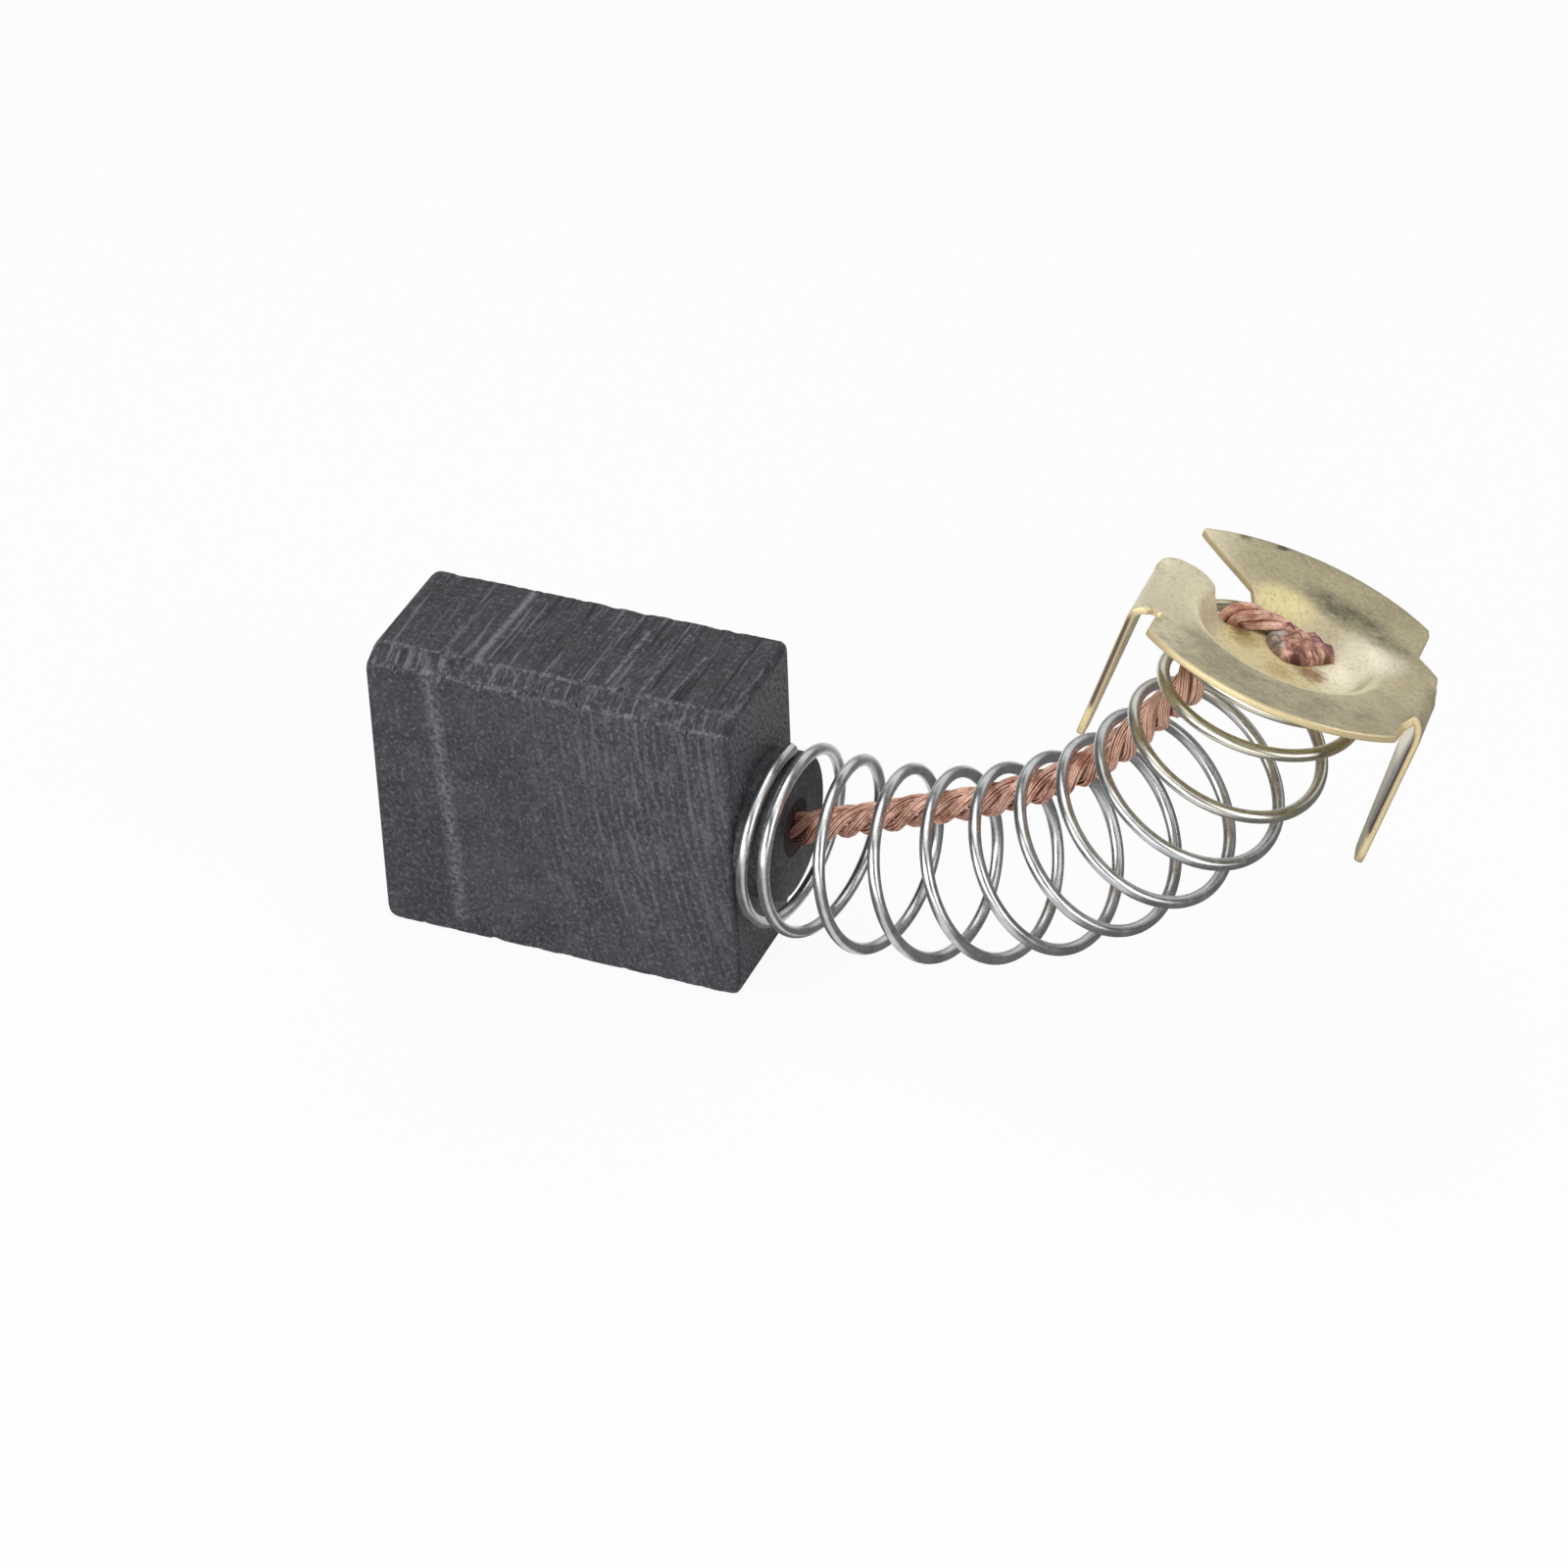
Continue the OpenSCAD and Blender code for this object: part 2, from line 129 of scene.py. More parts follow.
def crumbled_block():
    """The block as rings along X, close together at the ends, with grains broken from its edges."""
    stations = [x - half_length for x in (0, 0.015, 0.06, 0.13, 0.22, 0.34, 0.47, 0.6)]
    stations += list(np.arange(-7.3, 7.6, 0.13)) + [7.66, 7.75, 7.83, 7.9, 7.95, 7.985, 8]
    section = block_section()
    body = bmesh.new()
    mark = body.verts.layers.float.new("edge")
    rings = []
    for x in stations:
        from_worn, from_sawn = x + half_length, half_length - x
        inset_z = rounded_end(from_worn, worn_end) + rounded_end(from_sawn, sawn_end)
        inset_y = rounded_end(from_worn, side_rounding) + rounded_end(from_sawn, side_rounding)
        ring = []
        for point, way, crumble, edge in section:
            spot = Vector((x, point.x, point.y))
            # Deep chips in clusters, and fine ones all along
            deep = 1.3 * max(0.0, noise.fractal(spot * 1.5, 0.8, 2.2, 5) - 0.02)
            fine = 0.16 * abs(noise.noise(spot * 7.0))
            moved = point + way * crumble * (deep + fine)
            v = body.verts.new((x, moved.x * (1 - inset_y / half_thick),
                                mid_height + (moved.y - mid_height) * (1 - inset_z / mid_height)))
            v[mark] = edge
            ring.append(v)
        rings.append(ring)
    return skin("carbon_block_body", body, rings)


def turned_boss(sides=96):
    """The boss with its chamfer and its hole, turned about +X from (radius, height) pairs."""
    hole_floor = boss_height - hole_shown
    profile = [(boss_radius, -boss_root), (boss_radius, boss_height - boss_chamfer),
               (boss_radius - 0.04, boss_height - 0.05), (boss_radius - boss_chamfer, boss_height),
               (hole_radius, boss_height), (hole_radius, hole_floor), (0.05, hole_floor)]
    body = bmesh.new()
    angles = [2 * math.pi * k / sides for k in range(sides)]
    rings = [[body.verts.new((seat[0] + h, seat[1] + r * math.cos(a), seat[2] + r * math.sin(a)))
              for a in angles] for r, h in profile]
    return skin("carbon_boss", body, rings)


def feed(socket, value):
    """Links an output to a socket, or sets the socket's own value."""
    if isinstance(value, bpy.types.NodeSocket):
        socket.id_data.links.new(value, socket)
    elif socket.type == "RGBA" and len(value) == 3:
        socket.default_value = (*value, 1)
    else:
        socket.default_value = value


def put(tree, kind, inputs=None, **settings):
    """Adds a node, with its settings and with values or links for its inputs."""
    made = tree.nodes.new(kind)
    for name, value in settings.items():
        setattr(made, name, value)
    for name, value in (inputs or {}).items():
        feed(made.inputs[name], value)
    return made


def tree_of(values):
    """The node tree that the linked ones among some values belong to."""
    return next(v for v in values if isinstance(v, bpy.types.NodeSocket)).id_data


def maths(operation, *values, clamp=False):
    """Maths on masks and numbers, at least one of them linked."""
    return put(tree_of(values), "ShaderNodeMath", dict(enumerate(values)),
               operation=operation, use_clamp=clamp).outputs[0]


def times(*values):
    """Product of masks and shares, the first of them a mask."""
    return reduce(lambda a, b: maths("MULTIPLY", a, b), values)


def vectors(operation, *values):
    """Vector maths: a number for a dot product, a length or a distance, else a vector."""
    made = put(tree_of(values), "ShaderNodeVectorMath", dict(enumerate(values)), operation=operation)
    return made.outputs["Value" if operation in ("DOT_PRODUCT", "LENGTH", "DISTANCE") else "Vector"]


def stretch(value, low, high, out_low=0.0, out_high=1.0):
    """Soft step of a value between two limits."""
    return put(tree_of((value,)), "ShaderNodeMapRange", {
        "Value": value, "From Min": low, "From Max": high, "To Min": out_low, "To Max": out_high},
               interpolation_type="SMOOTHSTEP").outputs[0]


def mottled(at, scale, detail, roughness):
    """A cloudy noise over the piece."""
    return put(at.id_data, "ShaderNodeTexNoise", {
        "Vector": at, "Scale": scale, "Detail": detail, "Roughness": roughness}).outputs[0]


def relief(height, strength, distance):
    """A normal that a height has made uneven."""
    return put(height.id_data, "ShaderNodeBump", {
        "Strength": strength, "Distance": distance, "Height": height}).outputs[0]


def blend(amount, first, second):
    """Mixes two colours by a mask."""
    return put(tree_of((amount,)), "ShaderNodeMix", {0: amount, 6: first, 7: second},
               data_type="RGBA").outputs[2]


def colour(text):
    """A colour that is read off as an sRGB value, as the renderer's linear one."""
    parts = [int(text[i:i + 2], 16) / 255 for i in (0, 2, 4)]
    return tuple(c / 12.92 if c <= 0.04045 else ((c + 0.055) / 1.055) ** 2.4 for c in parts)


def coat(tone, paint, *amounts):
    """Lays a colour over a tone, as strongly as the product of masks and shares."""
    return blend(times(*amounts), tone, colour(paint))


def new_material(name, metallic=0.0, roughness=0.5):
    material = bpy.data.materials.new(name)
    material.use_nodes = True
    shader = material.node_tree.nodes["Principled BSDF"]
    shader.inputs["Metallic"].default_value = metallic
    shader.inputs["Roughness"].default_value = roughness
    return material, material.node_tree, shader.inputs


def new_group(name, inputs, outputs):
    """A shader group: its tree, what it is given, and what it gives out."""
    group = bpy.data.node_groups.new(name, "ShaderNodeTree")
    for title, kind, default in inputs:
        socket = group.interface.new_socket(name=title, in_out="INPUT", socket_type=kind)
        if default is not None:
            socket.default_value = default
    for title, kind in outputs:
        group.interface.new_socket(name=title, in_out="OUTPUT", socket_type=kind)
    return group, group.nodes.new("NodeGroupInput").outputs, group.nodes.new("NodeGroupOutput").inputs


def use(tree, group, **inputs):
    """Places a group in a tree, with values or links for its inputs."""
    return put(tree, "ShaderNodeGroup", inputs, node_tree=group).outputs


VECTOR, FLOAT = "NodeSocketVector", "NodeSocketFloat"

# A place on the piece in millimetres
place, _, gives = new_group("Place in millimetres", [], [("Place", VECTOR)])
feed(gives["Place"], vectors("MULTIPLY", put(place, "ShaderNodeTexCoord").outputs["Object"],
                             (1 / MM, 1 / MM, 1 / MM)))

# Fine lines that run along one way: a noise that is squeezed across them
lines, given, gives = new_group(
    "Fine lines", [("Place", VECTOR, None), ("Squeeze", VECTOR, (1, 1, 1)),
                   ("Low", FLOAT, 0.5), ("High", FLOAT, 0.7)], [("Mask", FLOAT), ("Height", FLOAT)])
wave = mottled(vectors("MULTIPLY", given["Place"], given["Squeeze"]), 1.0, 3.0, 0.6)
feed(gives["Mask"], stretch(wave, given["Low"], given["High"]))
feed(gives["Height"], wave)

# One scratch or rubbed band between two points, broken up by the grain
scratch, given, gives = new_group(
    "Rubbed line", [("Place", VECTOR, None), ("From", VECTOR, (0, 0, 0)), ("To", VECTOR, (1, 0, 0)),
                    ("Width", FLOAT, 0.2), ("Break", FLOAT, 0.5)], [("Mask", FLOAT)])
reach = vectors("SUBTRACT", given["Place"], given["From"])
run = vectors("SUBTRACT", given["To"], given["From"])
share = maths("DIVIDE", vectors("DOT_PRODUCT", reach, run), vectors("DOT_PRODUCT", run, run), clamp=True)
nearest = put(scratch, "ShaderNodeVectorMath", {0: run, "Scale": share}, operation="SCALE").outputs[0]
apart = vectors("DISTANCE", reach, nearest)
near = maths("SUBTRACT", 1.0, maths("DIVIDE", apart, given["Width"], clamp=True))
grit = mottled(given["Place"], 4.0, 4.0, 0.7)
feed(gives["Mask"], times(near, stretch(grit, given["Break"], maths("ADD", given["Break"], 0.15))))


def fine_lines(at, squeeze, low, high):
    return use(at.id_data, lines, Place=at, Squeeze=squeeze, Low=low, High=high)


carbon, tree, shader = new_material("pressed carbon", roughness=0.62)
at = use(tree, place)["Place"]
x_at, y_at, z_at = put(tree, "ShaderNodeSeparateXYZ", {0: at}).outputs
facing = put(tree, "ShaderNodeSeparateXYZ", {
    0: put(tree, "ShaderNodeNewGeometry").outputs["True Normal"]}).outputs
on_top = stretch(facing[2], 0.93, 0.97)
on_bevel = maths("SUBTRACT", stretch(facing[2], 0.4, 0.6), on_top, clamp=True)
on_side = stretch(maths("ABSOLUTE", facing[1]), 0.85, 0.95)
on_end = stretch(maths("ABSOLUTE", facing[0]), 0.7, 0.9)
cloud = mottled(at, 0.5, 5.0, 0.6)
patch = mottled(at, 1.7, 4.0, 0.6)
grain = mottled(at, 5.5, 3.0, 0.75)
tone = blend(stretch(cloud, 0.34, 0.66), colour("37363b"), colour("424146"))
# The top, the bevels and the ends are painted darker than the sides, as painted shade; the patches and the
# light and dark specks are the carbon's own
for mask, paint, share in (
        (on_top, "37363a", 0.75), (on_bevel, "323135", 0.75), (on_end, "37363a", 0.85),
        (stretch(patch, 0.5, 0.7), "6a6a6f", 0.22), (stretch(grain, 0.54, 0.66), "77767c", 0.5),
        (stretch(grain, 0.47, 0.35), "212024", 0.7)):
    tone = coat(tone, paint, mask, share)

# Grinding lines across the top, dark ones fading to the left, and streaks on the bevel
hollow = fine_lines(at, (5.6, 0.22, 0.22), 0.5, 0.36)
tone = coat(tone, "18171a", hollow["Mask"], stretch(x_at, -6.0, 0.0, 0.35, 1.0), on_top, 0.95)
for squeeze, low, high, where, paint, share in (
        ((4.4, 0.25, 0.25), 0.56, 0.7, on_top, "6f6e74", 0.7),
        ((4.0, 0.7, 0.7), 0.5, 0.62, on_bevel, "74737a", 0.55),
        ((5.2, 0.6, 0.6), 0.48, 0.36, on_bevel, "1d1c20", 0.8)):
    tone = coat(tone, paint, fine_lines(at, squeeze, low, high)["Mask"], where, share)

# Bowed lines down the right half of the sides, as the saw left them
bend = times(maths("POWER", maths("SUBTRACT", 14.0, z_at), 2.0), -0.012)
bowed = put(tree, "ShaderNodeCombineXYZ", {"X": maths("ADD", x_at, bend), "Y": y_at, "Z": z_at}).outputs[0]
down = fine_lines(bowed, (4.6, 1.0, 0.4), 0.52, 0.66)
comb = put(tree, "ShaderNodeTexWave", {
    "Vector": bowed, "Scale": 0.82, "Distortion": 1.4, "Detail": 2.0, "Detail Scale": 0.5,
    "Detail Roughness": 0.5}).outputs[1]
combed = times(stretch(comb, 0.45, 0.95), stretch(grain, 0.38, 0.6))
right_half = times(stretch(x_at, -3.0, 4.0, 0.08, 0.6), stretch(z_at, 0.5, 6.0, 0.3, 1.0))
tone = coat(tone, "6d6d73", down["Mask"], on_side, right_half, 0.7)
tone = coat(tone, "69696f", combed, on_side, right_half, 0.8)
edge = put(tree, "ShaderNodeAttribute", attribute_name="edge").outputs["Fac"]
tone = coat(tone, "77767c", edge, stretch(grain, 0.4, 0.62), 0.6)

# Rubbed lines: one bent line down the front, four lines across the top
front_face, top_face = -half_thick, block_height
rubbed = reduce(lambda a, b: maths("MAXIMUM", a, b), [
    use(tree, scratch, Place=at, From=start, To=stop, Width=width, Break=broken)["Mask"]
    for start, stop, width, broken in (
        ((-5.12, front_face, 12.8), (-4.7, front_face, 7.0), 0.5, 0.4),
        ((-4.7, front_face, 7.0), (-4.5, front_face, 1.0), 0.46, 0.41),
        ((-3.16, 2.9, top_face), (-3.36, -2.3, top_face), 0.24, 0.34),
        ((2.44, 1.9, top_face), (2.28, -2.0, top_face), 0.13, 0.36),
        ((5.3, 1.0, top_face), (5.1, -1.6, top_face), 0.09, 0.42),
        ((4.1, 2.2, top_face), (3.8, -2.2, top_face), 0.1, 0.46))])
strength = maths("ADD", 0.2, times(patch, maths("ADD", 0.6, times(on_top, 0.45))))
tone = coat(tone, "85848a", rubbed, strength)
feed(shader["Base Color"], tone)
height = maths("ADD", times(grain, 0.6), maths(
    "ADD", times(hollow["Height"], on_top, 0.9), times(down["Height"], on_side, 0.35)))
feed(shader["Normal"], relief(height, 0.55, 0.06 * MM))
shader["Specular IOR Level"].default_value = 0.4
finish_piece("block", crumbled_block(), carbon, ["carbon_block"])
finish_piece("boss", turned_boss(), carbon, ["carbon_block"], smooth=30)


# Tamped powder: copper powder pressed into the boss's hole round the shunt, dark brown
# and dull, a little uneven where the tamping tool left it.
plug_radius, plug_depth, plug_sides = hole_radius + 0.06, 0.5, 48
powder, tree, shader = new_material("tamped copper powder", roughness=0.85)
grain = mottled(use(tree, place)["Place"], 5.0, 4.0, 0.7)
feed(shader["Base Color"], blend(stretch(grain, 0.35, 0.68), colour("211816"), colour("36251f")))
plug = bmesh.new()
rings = []
for r in np.linspace(0.02, plug_radius, 14):
    ring = []
    for j in range(plug_sides):
        a = 2 * math.pi * j / plug_sides
        spot = Vector((r * math.cos(a), r * math.sin(a), 0))
        lift = 0.10 * noise.noise(spot * 2.2 + Vector((3, 1, 7))) + 0.05 * noise.noise(spot * 7)
        fall = min(1.0, (plug_radius - r) / 0.25)
        ring.append(plug.verts.new((seat[0] + boss_height - 0.03 + fall * (0.02 + lift),
                                    seat[1] + spot.x, seat[2] + spot.y)))
    rings.append(ring)
rings.append([plug.verts.new((seat[0] + boss_height - plug_depth, v.co.y, v.co.z)) for v in rings[-1]])
finish_piece("powder_plug", skin("powder_plug", plug, rings), powder, ["tamped_powder"],
             smooth=60)


# Pressure spring: bright spring steel wire, 0.5 mm, wound open with both ends close.
# It sits round the boss and bows upwards to the terminal, which it presses on.
wire_radius, coil_radius, slack = 0.25, 3.75, 0.02
turns, seat_turns, end_turns, ramp = 12.4, 1.1, 1.6, 0.32
seat_pitch, end_pitch, start_angle = 0.95, 0.62, math.radians(-12)
rings_a_turn, wire_sides = 100, 24
plate_middle = seat + (22.2, -0.35, 14.7)
lean, tip, turned_by = (math.radians(a) for a in (18, 13.5, 3))
plate_w = np.array((math.sin(lean) * math.cos(tip), math.sin(tip), math.cos(lean) * math.cos(tip)))
level_u = np.array((math.cos(lean), 0, -math.sin(lean)))
plate_u = math.cos(turned_by) * level_u + math.sin(turned_by) * np.cross(plate_w, level_u)
plate_v = np.cross(plate_w, plate_u)
sheet, brim_rise, cup_depth, cup_slope = 0.3, 0.42, 0.9, math.radians(50)

# The last turn bears on the cup's sloping wall from below, a little outside the cup's lip
past_lip, last_straight = 0.15, 2.2
lip_inside = coil_radius - past_lip
wall_gap = sheet + wire_radius + slack - past_lip * math.sin(cup_slope)
coil_w = -brim_rise - wall_gap / math.cos(cup_slope)


def unit(v):
    return v / np.linalg.norm(v)


def on_plate(u, v, w):
    """A place in the plate's own directions: right, away and up from its middle."""
    return plate_middle + u * plate_u + v * plate_v + w * plate_w


dip, swing, start_drop = math.radians(3.5), math.radians(6), 0.35
start_heading = np.array((math.cos(dip) * math.cos(swing), -math.cos(dip) * math.sin(swing),
                          -math.sin(dip)))
slope_room = coil_radius * math.hypot(start_heading[1], start_heading[2])
axis_start = seat + (wire_radius + slack + slope_room, 0, -start_drop)
axis_end = on_plate(0, 0, -last_straight)
seat_guide, plate_guide = 14.4, 3.3
guides = [axis_start, axis_start + seat_guide * start_heading,
          axis_end - plate_guide * plate_w, axis_end]


def axis_curve(t):
    """The coil's bowed axis: a cubic curve from the boss to the plate."""
    return ((1 - t) ** 3 * guides[0] + 3 * t * (1 - t) ** 2 * guides[1]
            + 3 * t * t * (1 - t) * guides[2] + t ** 3 * guides[3])


def axis_direction(t):
    return unit((1 - t) ** 2 * (guides[1] - guides[0]) + 2 * t * (1 - t) * (guides[2] - guides[1])
                + t * t * (guides[3] - guides[2]))


def lengths_along(points):
    """Length from the first of a row of points to each of them."""
    return np.concatenate(([0], np.cumsum([np.linalg.norm(b - a) for a, b in zip(points, points[1:])])))


axis_steps = np.linspace(0, 1, 241)
axis_along = lengths_along([axis_curve(t) for t in axis_steps])
curve_length = axis_along[-1]


def axis_frame(s):
    """Point, heading and the two ways across the spring's axis, s millimetres along it."""
    if s < curve_length:
        t = float(np.interp(s, axis_along, axis_steps))
        point, heading = axis_curve(t), axis_direction(t)
    else:
        point, heading = axis_end + (s - curve_length) * plate_w, plate_w
    side = unit(np.cross(heading, (0, 1, 0)))
    return point, heading, side, np.cross(heading, side)


# The open turns fill the length that the close ones leave, with a soft ramp at both ends
axis_length = curve_length + last_straight + coil_w
open_from, open_to = seat_turns + ramp / 2, turns - end_turns - ramp / 2
close_length = seat_pitch * open_from + end_pitch * (turns - open_to)
open_pitch = (axis_length - close_length) / (open_to - open_from)


def eased(x):
    """Integral of a smooth step that rises between 0 and 1."""
    return 0 if x <= 0 else x - 0.5 if x >= 1 else x ** 3 - x ** 4 / 2


def wire_point(u):
    """Middle of the wire after u turns."""
    s = (seat_pitch * u + (open_pitch - seat_pitch) * ramp * eased((u - open_from) / ramp + 0.5)
         + (end_pitch - open_pitch) * ramp * eased((u - open_to) / ramp + 0.5))
    point, _, side, other = axis_frame(s)
    a = 2 * math.pi * u + start_angle
    return point + coil_radius * (math.cos(a) * side + math.sin(a) * other)


# Geometry Nodes: a round wire along each path of a mesh of edges
wire_tree = bpy.data.node_groups.new("Wire along its path", "GeometryNodeTree")
new_socket = wire_tree.interface.new_socket
new_socket(name="Path", in_out="INPUT", socket_type="NodeSocketGeometry")
radius_socket = new_socket(name="Wire radius", in_out="INPUT", socket_type="NodeSocketFloat")
sides_socket = new_socket(name="Sides", in_out="INPUT", socket_type="NodeSocketInt")
metal_socket = new_socket(name="Metal", in_out="INPUT", socket_type="NodeSocketMaterial")
new_socket(name="Wire", in_out="OUTPUT", socket_type="NodeSocketGeometry")
given = wire_tree.nodes.new("NodeGroupInput").outputs
path = put(wire_tree, "GeometryNodeMeshToCurve", {"Mesh": given["Path"]}).outputs[0]
circle = put(wire_tree, "GeometryNodeCurvePrimitiveCircle", {
    "Resolution": given["Sides"], "Radius": given["Wire radius"]}).outputs[0]
tube = put(wire_tree, "GeometryNodeCurveToMesh", {
    "Curve": path, "Profile Curve": circle, "Fill Caps": True}).outputs[0]
soft = put(wire_tree, "GeometryNodeSetShadeSmooth", {"Geometry": tube}).outputs[0]
real = put(wire_tree, "GeometryNodeRealizeInstances", {"Geometry": soft}).outputs[0]
clad = put(wire_tree, "GeometryNodeSetMaterial", {"Geometry": real, "Material": given["Metal"]}).outputs[0]
feed(wire_tree.nodes.new("NodeGroupOutput").inputs["Wire"], clad)


def drawn_wires(name, paths, radius, sides, material):
    """A mesh of round wires, one along each list of points, in millimetres."""
    points = [p for each in paths for p in each]
    edges, first = [], 0
    for each in paths:
        edges += [(first + i, first + i + 1) for i in range(len(each) - 1)]
        first += len(each)
    course = bpy.data.meshes.new(name + "_course")
    course.from_pydata([tuple(p) for p in points], edges, [])
    carrier = bpy.data.objects.new(name + "_course", course)
    bpy.context.scene.collection.objects.link(carrier)
    modifier = carrier.modifiers.new("wire", "NODES")
    modifier.node_group = wire_tree
    modifier[radius_socket.identifier] = radius
    modifier[sides_socket.identifier] = sides
    modifier[metal_socket.identifier] = material
    graph = bpy.context.evaluated_depsgraph_get()
    mesh = bpy.data.meshes.new_from_object(carrier.evaluated_get(graph))
    mesh.name = name
    bpy.data.objects.remove(carrier)
    shell = bmesh.new()
    shell.from_mesh(mesh)
    bmesh.ops.recalc_face_normals(shell, faces=shell.faces)
    shell.to_mesh(mesh)
    return mesh


steel, tree, shader = new_material("bright spring steel", metallic=1.0)
at = use(tree, place)["Place"]
mottle = mottled(at, 1.4, 4.0, 0.6)
from_plate = vectors("DISTANCE", at, tuple(plate_middle))
tone = blend(stretch(mottle, 0.35, 0.65), colour("bdbebf"), colour("d3d4d5"))
# Towards the terminal the wire is painted paler and warmer: painted light where the plate shades it, and a
# painted reflection of the brass
tone = blend(stretch(from_plate, 9.0, 5.0, 0.0, 0.75), tone, colour("e2dcc4"))
feed(shader["Base Color"], tone)
feed(shader["Roughness"], stretch(mottle, 0.3, 0.7, 0.22, 0.31))
coil = [wire_point(u) for u in np.linspace(0, turns, int(turns * rings_a_turn) + 1)]
spring_mesh = drawn_wires("spring_wire", [coil], wire_radius, wire_sides, steel)
finish_piece("spring_wire", spring_mesh, steel, ["spring"], smooth=50)


# Terminal: stamped from thin brass sheet. A cup is pressed into the round plate, a slot lets
# the shunt through, and two legs are folded down. The sheared edges are bare and bright,
# the faces dull and mottled with tarnish, with patches of painted light and shade over them.
plate_radius = 7.1
floor_w = -brim_rise - cup_depth
brim_slope = math.atan(brim_rise / (plate_radius - lip_inside))
cup_foot_rounding, lip_rounding = 0.5, 0.3 + sheet
fold_inside = 0.4
fold_outside = fold_inside + sheet
fold_arc = fold_outside * math.pi / 2
right_fold_end, left_fold_end = 1.6, 2.1
right_leg_face, left_leg_face, leg_drop = 6.1, 5.7, 6.1
right_side, left_side = (face - sheet - fold_inside for face in (right_leg_face, left_leg_face))
leg_near, leg_far, leg_long = -3.4, 0.8, leg_drop - fold_outside
tip_width, tip_rounding, notch_radius = 1.9, 0.55, 0.3
arch_height, arch_width, leg_twist = 0.5, 1.1, math.radians(6)
lobe_middle, lobe_radius = (-4.4, 0.85), 1.35
slot_middle, slot_end, slot_end_radius = (-2.3, 1.8), (-2.3, 1.93), 0.97
outline_step, grid_step, grid_margin = 0.13, 0.15, 0.13
lit_leg_mark = 0.8


def dish_heights():
    """Radius and height of the sheet's upper face, from the cup's floor over its lip to the rim."""
    inner, outer, reach = cup_foot_rounding, lip_rounding, 9
    wall_foot = lip_inside - cup_depth / math.tan(cup_slope)
    foot = (wall_foot - inner * math.tan(cup_slope / 2), floor_w + inner)
    back = outer * math.tan((cup_slope - brim_slope) / 2)
    lip = (lip_inside - back * math.cos(cup_slope) + outer * math.sin(cup_slope),
           -brim_rise - back * math.sin(cup_slope) - outer * math.cos(cup_slope))
    points = [(0, floor_w)]
    for (x, y), radius, start, stop in (
            (foot, inner, -math.pi / 2, cup_slope - math.pi / 2),
            (lip, outer, math.pi / 2 + cup_slope, math.pi / 2 + brim_slope)):
        points += [(x + radius * math.cos(a), y + radius * math.sin(a))
                   for a in np.linspace(start, stop, 9)]
    points.append((reach, -brim_rise + (reach - lip_inside) * math.tan(brim_slope)))
    return np.array(points)


dish = dish_heights()


def smooth_step(x, low, high):
    x = min(1.0, max(0.0, (x - low) / (high - low)))
    return x * x * (3 - 2 * x)


def sheet_face(u, v):
    """Upper face of the folded sheet, from a place in the flat blank, in the plate's directions."""
    right = u > 0
    side = right_side if right else left_side
    out_by = abs(u) - side
    flat_u = min(abs(u), side)
    height = float(np.interp(math.hypot(flat_u, v), dish[:, 0], dish[:, 1]))
    arch = 0.0
    if right:
        near = math.exp(-((v - leg_near) / arch_width) ** 2)
        arch = arch_height * near * smooth_step(u, side - 0.28, side + 0.15)
    if out_by <= 0:
        return np.array((u, v, height + arch))
    bend = 1 - smooth_step(v, leg_far, right_fold_end if right else left_fold_end)
    radius = fold_outside / max(bend, 0.02)
    angle = min(out_by / radius, math.pi / 2)
    rest = max(0.0, out_by - radius * math.pi / 2)
    arch *= 1 - smooth_step(out_by, 0.2, 1.6)
    across = flat_u + radius * math.sin(angle)
    if right:
        twist = leg_twist * smooth_step(rest, 0, 1.6)
        across -= (v - leg_near) * math.sin(twist)
        v = leg_near + (v - leg_near) * math.cos(twist)
    drop = radius * (1 - math.cos(angle)) + rest
    return np.array((across if right else -across, v, height + arch - drop))


def sheet_normal(u, v, h=0.02):
    """Direction out of the sheet's upper face."""
    return unit(np.cross(sheet_face(u + h, v) - sheet_face(u - h, v),
                         sheet_face(u, v + h) - sheet_face(u, v - h)))


def bow(middle, radius, start, stop, count):
    """Points of an arc between two angles in degrees."""
    return [(middle[0] + radius * math.cos(a), middle[1] + radius * math.sin(a))
            for a in np.radians(np.linspace(start, stop, count))]


def rim_angle(u, far):
    """Angle in degrees at which the plate's rim is u from its middle, on the far or the near side."""
    v = math.sqrt(plate_radius ** 2 - u ** 2)
    return math.degrees(math.atan2(v if far else -v, u))


